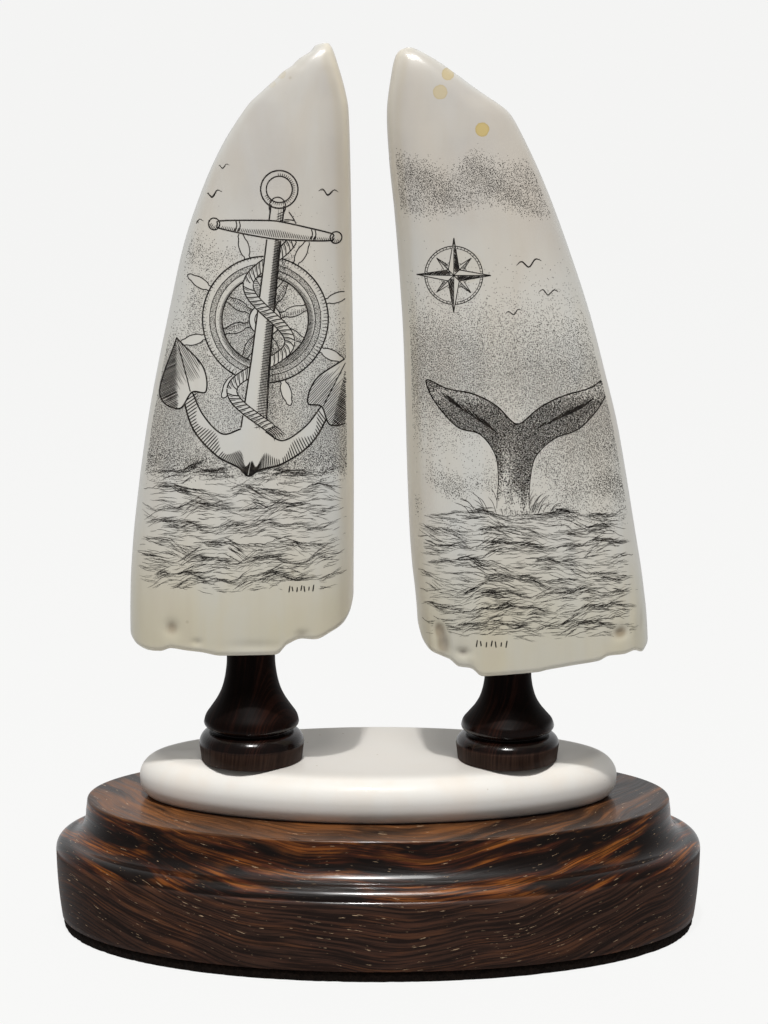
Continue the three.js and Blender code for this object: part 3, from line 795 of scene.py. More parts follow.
    art.stipple((5, 98, 66, 128), 0.27, foam, 0.085)
    for k in range(46):
        a = art.random.uniform(-1.1, 1.1)
        foot = np.array([32.0 + 9.5 * a, 107.5 + art.random.uniform(-0.8, 0.8)])
        reach = art.random.uniform(2.5, 7.5) * (1 - 0.4 * abs(a))
        way = np.array([0.75 * a, 1.0])
        spray = [foot, foot + way * reach * 0.6, foot + way * reach + (1.2 * a, -0.5)]
        art.line(curve(spray, 10), 0.11, 0.3, 0.15)
    art.mark(23.3, 30.3, 75.2, 76.9)
    art.shape(np.array([[21.8, 74], [31.8, 74], [31.8, 78.2], [21.8, 78.2]]))
    art.sea(107.5, 80.8, 8, 6, 66, 0.7)
    return art


# Finishes

def linear(r, g, b):
    """Linear light from a colour of 0 to 255."""
    c = np.array([r, g, b]) / 255.0
    return tuple(np.where(c <= 0.04045, c / 12.92, ((c + 0.055) / 1.055) ** 2.4))


def socket(r, g, b):
    """Linear light from a colour of 0 to 255, as a colour socket takes it."""
    return (*linear(r, g, b), 1)


def scaled(colour, factor):
    """A colour made darker or brighter, as a colour socket takes it."""
    return (*[c * factor for c in colour], 1)


class Nodes:
    """A short way to place nodes in a tree and join them."""

    def __init__(self, tree):
        self.tree = tree

    def add(self, kind, inputs=None, **settings):
        node = self.tree.nodes.new(kind)
        for key, value in settings.items():
            setattr(node, key, value)
        for key, value in (inputs or {}).items():
            if isinstance(value, bpy.types.NodeSocket):
                self.tree.links.new(value, node.inputs[key])
            else:
                node.inputs[key].default_value = value
        return node

    def math(self, operation, a, b):
        return self.add("ShaderNodeMath", {0: a, 1: b}, operation=operation).outputs[0]

    def mix(self, factor, a, b):
        return self.add("ShaderNodeMix", {0: factor, 6: a, 7: b}, data_type="RGBA").outputs[2]

    def spread(self, value, low, high, to_low=0.0, to_high=1.0):
        return self.add("ShaderNodeMapRange", {0: value, 1: low, 2: high, 3: to_low, 4: to_high},
                        interpolation_type="SMOOTHSTEP").outputs[0]

    def millimetres(self, vector):
        return self.add("ShaderNodeVectorMath", {0: vector, 1: (1 / MM,) * 3},
                        operation="MULTIPLY").outputs[0]

    def mapped(self, vector, rotation=(0, 0, 0), scale=(1, 1, 1)):
        return self.add("ShaderNodeMapping", {"Vector": vector, "Rotation": rotation,
                                              "Scale": scale}).outputs[0]

    def noise(self, vector, scale, detail, roughness, distortion=0.0):
        return self.add("ShaderNodeTexNoise", {
            "Vector": vector, "Scale": scale, "Detail": detail, "Roughness": roughness,
            "Distortion": distortion}).outputs[0]

    def ramp(self, factor, stops):
        node = self.add("ShaderNodeValToRGB", {0: factor})
        elements = node.color_ramp.elements
        while len(elements) < len(stops):
            elements.new(0.5)
        for element, (place, colour) in zip(elements, stops):
            element.position, element.color = place, (*colour, 1)
        return node.outputs[0]

    def group(self, tree, inputs):
        return self.add("ShaderNodeGroup", inputs, node_tree=tree).outputs

    def link(self, a, b):
        self.tree.links.new(a, b)

    def bump(self, shader, height, strength, distance):
        node = self.add("ShaderNodeBump", {"Height": height, "Strength": strength,
                                           "Distance": distance})
        self.link(node.outputs[0], shader.inputs["Normal"])


def group(name, defaults, make):
    """Builds a shader node group once: a vector and some numbers go in, and make's numbers come out."""
    tree = bpy.data.node_groups.get(name)
    if tree:
        return tree
    tree = bpy.data.node_groups.new(name, "ShaderNodeTree")
    tree.interface.new_socket(name="Vector", in_out="INPUT", socket_type="NodeSocketVector")
    for label, value in defaults.items():
        number = tree.interface.new_socket(name=label, in_out="INPUT", socket_type="NodeSocketFloat")
        number.default_value = value
    n = Nodes(tree)
    results = make(n, n.add("NodeGroupInput").outputs)
    for label in results:
        tree.interface.new_socket(name=label, in_out="OUTPUT", socket_type="NodeSocketFloat")
    n.add("NodeGroupOutput", results)
    return tree


def grain_group():
    """Wood grain: layers bent like a bowl, z - k x^2 + a y, with wandering added, read by stretched
    noise. It puts out a broad band, a fine streak, and the short open pores."""
    def make(n, given):
        mm = n.millimetres(given["Vector"])
        wander = n.noise(mm, 0.035, 1.2, 0.5)
        xyz = n.add("ShaderNodeSeparateXYZ", {0: mm}).outputs
        square = n.math("MULTIPLY", xyz[0], xyz[0])
        bowl = n.math("MULTIPLY", square, given["Bend"])
        layer = n.math("SUBTRACT", xyz[2], bowl)
        layer = n.math("ADD", layer, n.math("MULTIPLY", xyz[1], given["Slope"]))
        stray = n.math("MULTIPLY", n.math("SUBTRACT", wander, 0.5), given["Wander"])
        layer = n.math("ADD", layer, stray)

        def stretched(along, across):
            return n.add("ShaderNodeCombineXYZ", {0: n.math("MULTIPLY", xyz[0], along),
                                                  1: n.math("MULTIPLY", xyz[1], along),
                                                  2: n.math("MULTIPLY", layer, across)}).outputs[0]

        broad, fine, dash = stretched(0.012, 0.12), stretched(0.03, 1.1), stretched(0.3, 3.6)
        pores = n.noise(dash, 1.0, 2, 0.6)
        return {"Band": n.spread(n.noise(broad, 2.2, 4, 0.6, 0.25), 0.32, 0.68),
                "Streak": n.spread(n.noise(fine, 1.6, 5, 0.65, 0.1), 0.34, 0.68),
                "Pores": n.spread(pores, 0.69, 0.735)}

    return group("Wood grain", {"Bend": 0.004, "Slope": 0.5, "Wander": 6.0}, make)


def speck_group():
    """Scattered small specks, and a slow cloudiness, for polished bone and ivory."""
    def make(n, given):
        mm = n.millimetres(given["Vector"])
        cloud = n.noise(mm, 0.11, 4, 0.55)
        grit = n.noise(mm, 1.9, 2, 0.5)
        cells = n.add("ShaderNodeTexVoronoi", {"Vector": mm, "Scale": given["Closeness"]},
                      feature="F1").outputs
        near = n.spread(cells["Distance"], 0.05, 0.12, 1, 0)
        rare = n.spread(n.add("ShaderNodeSeparateColor", {0: cells["Color"]}).outputs[0], 0.9, 0.93)
        return {"Cloud": cloud, "Grit": grit, "Specks": n.math("MULTIPLY", near, rare)}

    return group("Specks and cloud", {"Closeness": 0.35}, make)


def new_finish(name, **values):
    """A material with one Principled shader, whose plain values are set on its own sockets."""
    material = bpy.data.materials.new(name)
    material.use_nodes = True
    material.node_tree.nodes.clear()
    n = Nodes(material.node_tree)
    shader = n.add("ShaderNodeBsdfPrincipled")
    for key, value in values.items():
        shader.inputs[key.replace("_", " ")].default_value = value
    n.link(shader.outputs[0], n.add("ShaderNodeOutputMaterial").inputs[0])
    place = n.add("ShaderNodeTexCoord").outputs["Object"]
    return material, n, shader, place


def felt_finish(colour):
    material, n, shader, place = new_finish("Black-brown felt", Roughness=1.0, Specular_IOR_Level=0.0,
                                            Sheen_Weight=0.03, Sheen_Roughness=0.6)
    fuzz = n.noise(place, 900, 4, 0.7)
    lint = n.noise(place, 2600, 2, 0.6)
    base = n.mix(n.spread(fuzz, 0.35, 0.7), scaled(colour, 0.6), scaled(colour, 1.7))
    base = n.mix(n.spread(lint, 0.68, 0.76), base, socket(44, 35, 28))
    n.link(base, shader.inputs["Base Color"])
    n.bump(shader, fuzz, 0.9, 0.0006)
    return material


def rosewood_finish(dark, middle, bright):
    material, n, shader, place = new_finish("Figured rosewood, varnished", Coat_Roughness=0.12,
                                            Specular_IOR_Level=0.2)
    grain = n.group(grain_group(), {"Vector": place, "Bend": 0.005, "Slope": 0.42, "Wander": 8.0})
    height = n.add("ShaderNodeSeparateXYZ", {0: place}).outputs[2]
    moulded = n.spread(height, *ARRIS_BAND)
    colour = n.ramp(grain["Band"], [(0.0, dark), (0.4, dark), (0.74, middle), (1.0, bright)])
    colour = n.mix(n.spread(grain["Streak"], 0.2, 0.8, 0.75, 0.0), colour, scaled(dark, 0.45))
    sweep = n.mapped(place, (0.3, 0.12, 0), (34, 34, 150))
    flame = n.spread(n.noise(sweep, 1.0, 3, 0.55, 0.8), 0.54, 0.74, 0.0, 0.62)
    amber = n.mix(n.spread(grain["Streak"], 0.15, 0.75), socket(62, 25, 8), socket(148, 82, 22))
    colour = n.mix(flame, colour, amber)
    top = n.spread(grain["Band"], 0.15, 0.75)
    top = n.mix(top, socket(42, 24, 13), socket(114, 74, 42))
    top = n.mix(n.spread(grain["Streak"], 0.25, 0.75, 0.5, 0.0), top, socket(34, 19, 12))
    onto = n.spread(height, *BASE_TOP_BAND)
    colour = n.mix(n.math("MULTIPLY", onto, 0.7), colour, top)
    wall = n.mix(n.spread(grain["Streak"], 0.1, 0.9), socket(33, 20, 15), socket(69, 44, 32))
    wall = n.mix(0.8, colour, wall)
    colour = n.mix(moulded, wall, colour)
    colour = n.mix(n.math("MULTIPLY", grain["Pores"], 0.85), colour, socket(196, 166, 132))
    n.link(colour, shader.inputs["Base Color"])
    gloss = n.math("MULTIPLY", n.spread(moulded, 0, 1, 0.1, 0.62), n.spread(onto, 0, 1, 1.0, 0.55))
    n.link(gloss, shader.inputs["Coat Weight"])
    rough = n.spread(moulded, 0, 1, 0.55, 0.36)
    rough = n.math("ADD", rough, n.math("MULTIPLY", grain["Streak"], 0.12))
    n.link(rough, shader.inputs["Roughness"])
    n.bump(shader, n.math("SUBTRACT", grain["Streak"], grain["Pores"]), 0.16, 0.0002)
    return material


def plate_finish(colour):
    material, n, shader, place = new_finish("Polished bone", Roughness=0.5, Coat_Weight=0.12,
                                            Coat_Roughness=0.08, Specular_IOR_Level=0.3)
    speck = n.group(speck_group(), {"Vector": place, "Closeness": 0.34})
    height = n.add("ShaderNodeSeparateXYZ", {0: place}).outputs[2]
    base = n.mix(n.spread(speck["Cloud"], 0.35, 0.7, 0, 0.5), (*colour, 1), socket(228, 217, 204))
    # Painted shade: the lower part of the plate's side is greyed
    base = n.mix(n.spread(height, *PLATE_SIDE_SHADE_BAND, 0.35, 0.0), base, socket(200, 200, 199))
    # Painted shade: the flat top of the plate is darkened against the light from above
    base = n.mix(n.spread(height, *PLATE_TOP_SHADE_BAND, 0.0, 0.85), base, socket(196, 192, 186))
    base = n.mix(n.math("MULTIPLY", speck["Specks"], 0.6), base, socket(150, 130, 105))
    n.link(base, shader.inputs["Base Color"])
    n.bump(shader, speck["Grit"], 0.05, 0.0002)
    return material


def pedestal_finish(colour):
    material, n, shader, place = new_finish("Black turned hardwood", Coat_Roughness=0.1,
                                            Specular_IOR_Level=0.05)
    upended = n.mapped(place, (0, math.radians(84), 0))
    grain = n.group(grain_group(), {"Vector": upended, "Bend": 0.0, "Slope": 0.7, "Wander": 5.0})
    height = n.add("ShaderNodeSeparateXYZ", {0: place}).outputs[2]
    raw = n.spread(height, *FOOT_BAND, 1.0, 0.0)
    base = n.mix(n.spread(grain["Band"], 0.3, 0.9, 0, 0.8), (*colour, 1), socket(40, 20, 14))
    base = n.mix(n.spread(grain["Streak"], 0.3, 0.7, 0.7, 0.0), base, socket(9, 5, 4))
    dusty = n.mix(grain["Streak"], socket(42, 28, 23), socket(68, 50, 41))
    base = n.mix(n.math("MULTIPLY", raw, 0.8), base, dusty)
    n.link(base, shader.inputs["Base Color"])
    flare = n.spread(height, *FLARE_BAND)
    gloss = n.math("MULTIPLY", n.spread(raw, 0, 1, 0.75, 0.05), n.spread(flare, 0, 1, 1.0, 0.0))
    n.link(gloss, shader.inputs["Coat Weight"])
    rough = n.math("MAXIMUM", n.spread(raw, 0, 1, 0.34, 0.62), n.math("MULTIPLY", flare, 0.5))
    n.link(rough, shader.inputs["Roughness"])
    n.bump(shader, grain["Streak"], 0.1, 0.0002)
    return material


def ivory_finish():
    """The slow colours come from the tooth's own tint attribute, the fine ones from noise."""
    material, n, shader, place = new_finish("Polished ivory", Roughness=0.38, Coat_Weight=0.32,
                                            Coat_Roughness=0.04, Specular_IOR_Level=0.35)
    tint = n.add("ShaderNodeAttribute", attribute_name="tint").outputs["Color"]
    speck = n.group(speck_group(), {"Vector": place, "Closeness": 0.2})
    streaks = n.noise(n.mapped(place, scale=(420, 420, 36)), 1.0, 3, 0.5)
    base = n.mix(n.spread(speck["Cloud"], 0.3, 0.7, 0.0, 0.2), tint, socket(200, 194, 182))
    base = n.mix(n.spread(streaks, 0.45, 0.75, 0.0, 0.12), base, socket(176, 166, 150))
    veil = n.noise(n.mapped(place, (0, 0.2, 0), (62, 62, 15)), 1.0, 4, 0.5, 0.6)
    base = n.mix(n.spread(veil, 0.45, 0.7, 0.0, 0.32), base, socket(192, 196, 197))
    base = n.mix(n.spread(veil, 0.5, 0.3, 0.0, 0.22), base, socket(184, 171, 156))
    xyz = n.add("ShaderNodeSeparateXYZ", {0: place}).outputs
    ahead = n.spread(xyz[1], *FRONT_BAND, 1.0, 0.0)
    upright = n.add("ShaderNodeCombineXYZ", {0: xyz[0], 2: xyz[2]}).outputs[0]
    for cx, cz, r, strength in STAINS:
        far = n.add("ShaderNodeVectorMath", {0: upright, 1: (cx * MM, 0, cz * MM)},
                    operation="DISTANCE").outputs["Value"]
        far = n.math("ADD", far, n.math("MULTIPLY", n.math("SUBTRACT", speck["Grit"], 0.5), 0.00035))
        disc = n.math("MULTIPLY", n.spread(far, r * MM * 0.9, r * MM, strength, 0.0), ahead)
        rim = n.math("MULTIPLY", n.spread(far, r * MM * 0.7, r * MM * 0.94, 0.0, 0.35), disc)
        base = n.mix(disc, base, socket(184, 163, 104))
        base = n.mix(rim, base, socket(140, 118, 70))
    base = n.mix(n.math("MULTIPLY", speck["Specks"], 0.35), base, socket(150, 140, 118))
    n.link(base, shader.inputs["Base Color"])
    n.bump(shader, speck["Grit"], 0.04, 0.0002)
    return material


def ink_finish(colour):
    material, n, shader, place = new_finish("Lamp black in the cuts", Roughness=0.6,
                                            Specular_IOR_Level=0.25)
    worn = n.noise(place, 700, 3, 0.6)
    base = n.mix(n.spread(worn, 0.4, 0.75), (*colour, 1), socket(66, 60, 54))
    n.link(base, shader.inputs["Base Color"])
    return material


def tooth_tint(tooth, rings):
    """Slow colour of the ivory over the rings: cooler high up, yellower at the root, a paler strip of
    painted light along the inner edge, and brown in the hollows that is partly stain and partly
    painted shade."""
    x, y, z = rings[..., 0], rings[..., 1], rings[..., 2]
    low, high = tooth.limits(z)
    edge_in = (high - x) if tooth.side < 0 else (x - low)
    edge_out = (x - low) if tooth.side < 0 else (high - x)
    up = (z - tooth.seat_z) / tooth.height
    colour = np.empty(rings.shape)
    colour[:] = linear(199, 197, 190)

    def toward(mask, r, g, b):
        nonlocal colour
        m = np.clip(mask, 0, 1)[..., None]
        colour = colour * (1 - m) + np.array(linear(r, g, b)) * m

    toward(0.85 * (1 - smoothstep(up, 0.03, 0.26)), 192, 184, 158)
    toward(0.9 * smoothstep(up, 0.5, 0.84), 174, 169, 163)
    toward(0.4 * smoothstep(up, 0.93, 1.0), 200, 196, 186)
    # Painted light: a paler strip where the inner edge's bevel catches the light
    toward((0.9 if tooth.side < 0 else 0.5) * np.exp(-(edge_in / 1.7) ** 2), 222, 212, 190)
    toward(0.35 * np.exp(-((edge_in - 2.6) / 0.9) ** 2), 178, 168, 148)
    toward(0.5 * np.exp(-(edge_out / 1.6) ** 2), 212, 212, 206)
    wave = 0.5 + 0.5 * np.sin(x / 3.7 + 0.8 * np.sin(z / 17))
    toward(0.16 * wave * smoothstep(edge_in, 2, 9), 204, 196, 178)
    back = smoothstep(y - tooth.forward, -2, 8)
    toward(0.35 * back, 194, 184, 160)
    # Brown in the hollows: partly their own stain, partly painted shade
    hollow_stain_and_shade = tooth.dent(x, z) * (y < tooth.forward)
    toward(0.75 * smoothstep(hollow_stain_and_shade, 0.2, 0.95), 126, 108, 82)
    over_edge = z - tooth.seat_z - tooth.root_height((x - tooth.seat_x) * tooth.side)
    toward(0.45 * (1 - smoothstep(over_edge, 0.2, 2.2)), 208, 204, 192)
    return colour.reshape(-1, 3)


# Settings

def length(name, text, value):
    """A length in millimetres, shown in Blender's own units."""
    return bpy.props.FloatProperty(name=name, description=text, default=value * MM, min=0.0,
                                   unit="LENGTH", subtype="DISTANCE", precision=4)


def colour_of(name, text, value):
    return bpy.props.FloatVectorProperty(name=name, description=text, default=value, min=0.0, max=1.0,
                                         size=3, subtype="COLOR")


class BaseSizes(bpy.types.PropertyGroup):
    width: length("Width", "Over the arris of the moulding, left to right", 160)
    depth: length("Depth", "Over the arris of the moulding, front to back", 90.6)
    height: length("Height", "Height of the wooden base without its felt", 29.6)
    shoulder: length("Wall height", "From the foot of the wood to the arris", 17.2)
    moulding: length("Moulding inset", "From the arris in to the edge of the top face", 7.85)
    felt: length("Felt thickness", "Thickness of the felt pad", 2.9)


class PlateSizes(bpy.types.PropertyGroup):
    width: length("Width", "Length of the oval plate", 118.2)
    depth: length("Depth", "Width of the oval plate, front to back", 54.2)
    thickness: length("Thickness", "Thickness of the plate", 11.5)
    crown: length("Crown", "How far in the flat top starts", 7.6)


class PedestalSizes(bpy.types.PropertyGroup):
    x: bpy.props.FloatProperty(name="Place", description="Where its axis stands, left to right",
                               default=0.0, unit="LENGTH", subtype="DISTANCE", precision=4)
    height: length("Height", "From the plate to the tooth", 29)
    foot: length("Foot radius", "Radius at the top of the foot", 12.85)
    bell: length("Bell radius", "Radius of the lip of the bell", 11.6)
    neck: length("Neck radius", "Radius under the tooth", 5.8)
    foot_height: length("Foot height", "Height of the foot's side", 4.2)
    foot_round: length("Foot rounding", "Height of the rounding above it", 3.2)


class ToothSizes(bpy.types.PropertyGroup):
    height: length("Height", "From the seat to the tip", 142.9)
    width: length("Width", "Across the root", 53.8)
    thickness: length("Thickness", "Front to back at the root", 30)
    seat_tilt: bpy.props.FloatProperty(name="Seat tilt",
                                       description="Slope of the seat, up to the outside",
                                       default=0.0, unit="ROTATION", subtype="ANGLE")


class Colours(bpy.types.PropertyGroup):
    felt: colour_of("Felt", "Colour of the felt pad", linear(17, 11, 8))
    wood_dark: colour_of("Rosewood, dark", "Dark bands of the base", linear(19, 8, 4))
    wood_middle: colour_of("Rosewood, middle", "Middle bands of the base", linear(72, 31, 11))
    wood_bright: colour_of("Rosewood, bright", "Bright bands of the base", linear(146, 84, 28))
    plate: colour_of("Plate", "Colour of the bone plate", linear(230, 227, 221))
    pedestal: colour_of("Pedestals", "Colour of the turned hardwood", linear(17, 8, 6))
    ink: colour_of("Ink", "Colour rubbed into the engraving", linear(24, 21, 19))
    floor: colour_of("Floor", "Colour of the studio floor", linear(255, 255, 254))


def sizes_of(kind, name, text):
    return bpy.props.PointerProperty(type=kind, name=name, description=text)


class Settings(bpy.types.PropertyGroup):
    base: sizes_of(BaseSizes, "Base", "Sizes of the wooden base")
    plate: sizes_of(PlateSizes, "Plate", "Sizes of the bone plate")
    left_pedestal: sizes_of(PedestalSizes, "Left pedestal", "Its sizes")
    right_pedestal: sizes_of(PedestalSizes, "Right pedestal", "Its sizes")
    left_tooth: sizes_of(ToothSizes, "Left tooth", "Its sizes")
    right_tooth: sizes_of(ToothSizes, "Right tooth", "Its sizes")
    forward: length("Forward", "How far the pedestals stand in front of the middle", 6.8)
    colours: sizes_of(Colours, "Colours", "Colours of the finishes")


def fill_defaults(settings):
    """The places of the pedestals, and what the right pedestal and both teeth have of their own."""
    settings.left_pedestal.x = -30.9 * MM
    for key, value in {"x": 31.6, "height": 24.3, "foot": 12.65, "bell": 11.35, "neck": 5.6,
                       "foot_height": 3.9, "foot_round": 2.6}.items():
        setattr(settings.right_pedestal, key, value * MM)
    settings.right_tooth.height, settings.right_tooth.width = 146.6 * MM, 55.6 * MM
    settings.left_tooth.seat_tilt = math.radians(-1.0)
    settings.right_tooth.seat_tilt = math.radians(5.2)


def tops(settings):
    """Heights of the top of the base and the top of the plate."""
    base = settings.base.felt / MM + settings.base.height / MM
    return base, base + settings.plate.thickness / MM


def tooth_of(settings, side):
    stand = settings.left_pedestal if side < 0 else settings.right_pedestal
    sizes = settings.left_tooth if side < 0 else settings.right_tooth
    return Tooth(sizes, side, stand.x / MM, tops(settings)[1] + stand.height / MM,
                 -settings.forward / MM, stand.neck / MM)


# Pieces

class SCRIM_OT_felt(bpy.types.Operator):
    """Felt pad: a flat oval with a soft, slightly ragged edge"""
    bl_idname = "scrim.felt"
    bl_label = "Felt Pad"

    def execute(self, context):
        s = context.scene.scrimshaw
        base, thick = s.base, s.base.felt / MM
        profile = chain([[9, 0.0], [0.9, 0.0]], [[0.35, 0.15], [0.1, 0.6], [0, 1.2], [0, thick - 0.8],
                                                 [0.1, thick - 0.3], [0.35, thick]], [[9, thick]])
        profile[:, 0] += WALL_TAPER + FELT_INSET
        rings = oval_rings(profile, base.width / MM, base.depth / MM, BASE_SQUARENESS, 0, 720)
        random = np.random.default_rng(3)
        ragged = random.normal(0, 1, rings.shape[:2])
        ragged = (ragged + np.roll(ragged, 1, 1) + np.roll(ragged, -1, 1)) / 3
        edge = (profile[:, 0] < 1.9)[:, None] * 0.14 * ragged
        radius = np.hypot(rings[..., 0], rings[..., 1])
        rings[..., :2] *= 1 - np.clip(edge + 0.05, 0, 0.4)[..., None] / radius[..., None]
        piece = closed_stack("felt_skirt", rings, felt_finish(s.colours.felt))
        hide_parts("felt_pad")
        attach(piece, "root")
        return {"FINISHED"}


class SCRIM_OT_base(bpy.types.Operator):
    """Wooden base: a profile of wall, quarter round, cove and fillet carried round an oval"""
    bl_idname = "scrim.base"
    bl_label = "Wooden Base"

    def execute(self, context):
        s = context.scene.scrimshaw
        base = s.base
        height, shoulder, inset = base.height / MM, base.shoulder / MM, base.moulding / MM
        up = np.linspace(0, 1, 14)
        wall = np.stack([WALL_TAPER * (1 - up) ** 2.1, shoulder * up], 1)
        first, last = OVOLO_END * inset, COVE_END * inset
        ovolo_top, cove_top, arris_foot = shoulder + OVOLO_RISE, height - COVE_RISE, height - TOP_ARRIS
        ovolo = quarter([0.02, shoulder], [first, ovolo_top], True, 12)
        cove = quarter([first, ovolo_top], [last, cove_top], False, 18)
        fillet = np.stack([np.linspace(last, inset, 6), np.linspace(cove_top, arris_foot, 6)], 1)[1:-1]
        arris = quarter([inset, arris_foot], [inset + TOP_ARRIS, height], True, 5)
        profile = chain([[1.6, 0.0]], wall, ovolo, cove, fillet, arris,
                        [[inset + 1.0, height], [inset + 12, height]])
        rings = oval_rings(profile, base.width / MM, base.depth / MM, BASE_SQUARENESS, 0, 320)
        rings[..., 2] += base.felt / MM
        finish = rosewood_finish(s.colours.wood_dark, s.colours.wood_middle, s.colours.wood_bright)
        piece = closed_stack("moulded_base", rings, finish)
        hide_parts("wood_base")
        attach(piece, "root")
        return {"FINISHED"}


class SCRIM_OT_plate(bpy.types.Operator):
    """Oval plate: tucked in below its widest line, and rounded over to a flat top"""
    bl_idname = "scrim.plate"
    bl_label = "Bone Plate"

    def execute(self, context):
        s = context.scene.scrimshaw
        plate = s.plate
        thick, crown = plate.thickness / MM, plate.crown / MM
        up = np.linspace(0, 1, 10)
        below = np.stack([PLATE_UNDERCUT * (1 - up) ** 2.8, PLATE_BELLY * up], 1)
        over = quarter([0, PLATE_BELLY], [crown, thick], True, 24)
        profile = chain([[PLATE_UNDERCUT + 1.0, 0.0]], below, over, [[crown + 0.5, thick]])
        rings = oval_rings(profile, plate.width / MM, plate.depth / MM, PLATE_SQUARENESS,
                           PLATE_BACK, 280)
        rings[..., 2] += tops(s)[0]
        piece = closed_stack("polished_plate", rings, plate_finish(s.colours.plate))
        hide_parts("bone_plate")
        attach(piece, "root")
        return {"FINISHED"}


class SCRIM_OT_pedestals(bpy.types.Operator):
    """Turned pedestals: foot, groove and flared bell, turned round an axis, the top cut to the tooth"""
    bl_idname = "scrim.pedestals"
    bl_label = "Pedestals"

    def execute(self, context):
        s = context.scene.scrimshaw
        finish = pedestal_finish(s.colours.pedestal)
        for name, stand, sizes, side in (("left_pedestal", s.left_pedestal, s.left_tooth, -1),
                                         ("right_pedestal", s.right_pedestal, s.right_tooth, 1)):
            height, foot, bell, neck, side_height, round_height = (
                v / MM for v in (stand.height, stand.foot, stand.bell, stand.neck,
                                 stand.foot_height, stand.foot_round))
            groove, floor = bell - 2.0, side_height + round_height
            lip = floor + 0.7
            widest = lip + 1.3
            flare = np.linspace(0.0, 1, 40)
            bell_side = np.stack([neck + (bell - neck) * share(FLARE, flare),
                                  widest + (height - widest) * flare], 1)
            profile = chain([[0.01, 0.0], [foot - 0.8, 0.0], [foot - 0.55, 0.1]],
                            [[foot - 0.06, side_height - 0.15], [foot - 0.03, side_height]],
                            quarter([foot - 0.1, side_height + 0.05], [groove, floor], True, 12),
                            [[groove - 0.02, floor + 0.2], [groove, lip - 0.1],
                             [groove + 0.7, lip], [bell - 0.34, lip + 0.45],
                             [bell - 0.12, lip + 0.75], [bell, widest - 0.12]],
                            bell_side, [[neck - 0.05, height], [0.01, height]])
            angle = np.linspace(0, 2 * np.pi, 160, endpoint=False)
            r, z = profile[:, 0][:, None], profile[:, 1][:, None]
            x, y = r * np.cos(angle), r * np.sin(angle)
            share_up = np.clip((z - widest) / (height - widest), 0, 1) ** 8
            slope = math.tan(sizes.seat_tilt) * side
            rings = np.stack([stand.x / MM + x, y - s.forward / MM,
                              tops(s)[1] + z + slope * x * share_up], axis=-1)
            piece = closed_stack(name + "_turning", rings, finish)
            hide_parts(name)
            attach(piece, "root")
        return {"FINISHED"}


class SCRIM_OT_teeth(bpy.types.Operator):
    """Teeth: sections up a measured outline, flatter in front, with the uneven root and its hollows"""
    bl_idname = "scrim.teeth"
    bl_label = "Teeth"

    def execute(self, context):
        s = context.scene.scrimshaw
        finish = ivory_finish()
        for name, side in (("left_tooth", -1), ("right_tooth", 1)):
            tooth = tooth_of(s, side)
            rings = tooth.grid()
            count_levels, count, _ = rings.shape
            quads, tris = tooth.caps(count_levels, count)
            around = tube_faces(count_levels, count)
            k, i = np.meshgrid(np.arange(count_levels - 1), np.arange(count), indexing="ij")
            low, high = (SHEET_FOOT + SHEET_SPAN * row / (count_levels - 1) for row in (k, k + 1))
            # Texture map: the sides are unrolled by the girth of one ring of the body, and the two ends
            # lie side by side in the strip below them.
            girth = np.concatenate([rings[40], rings[40, :1]])[:, :2]
            step = np.hypot(*np.diff(girth, axis=0).T)
            run = np.concatenate([[0], np.cumsum(step)]) / step.sum() * 0.98 + 0.01
            left, right = run[i], run[i + 1]
            corners = ((left, low), (right, low), (right, high), (left, high))
            uv = np.stack([np.stack(corner, -1) for corner in corners], axis=2).reshape(-1, 2)
            flat = rings.reshape(-1, 3)
            ends = np.concatenate([quads.ravel(), tris.ravel()])
            at_top = ends >= (count_levels - 1) * count
            cap_uv = np.stack([(flat[ends, 0] - flat[:, 0].min()) / 70 * 0.4,
                               (flat[ends, 1] + 25) / 40 * 0.1], 1)
            cap_uv[:, 0] += 0.05 + 0.5 * at_top
            piece = put_mesh(name + "_ivory", flat, [around, quads, tris], finish,
                             loop_uv=np.concatenate([uv, cap_uv]), colours=tooth_tint(tooth, rings))
            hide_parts(name)
            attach(piece, "root")
        return {"FINISHED"}


class SCRIM_OT_pictures(bpy.types.Operator):
    """Pictures: inked strokes and dots laid on the front of each tooth"""
    bl_idname = "scrim.pictures"
    bl_label = "Engraved Pictures"

    def execute(self, context):
        s = context.scene.scrimshaw
        finish = ink_finish(s.colours.ink)
        for name, side, draw in (("left_engraving", -1, anchor_picture),
                                 ("right_engraving", 1, fluke_picture)):
            piece = draw(tooth_of(s, side)).build(name, finish)
            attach(piece, "root")
        return {"FINISHED"}


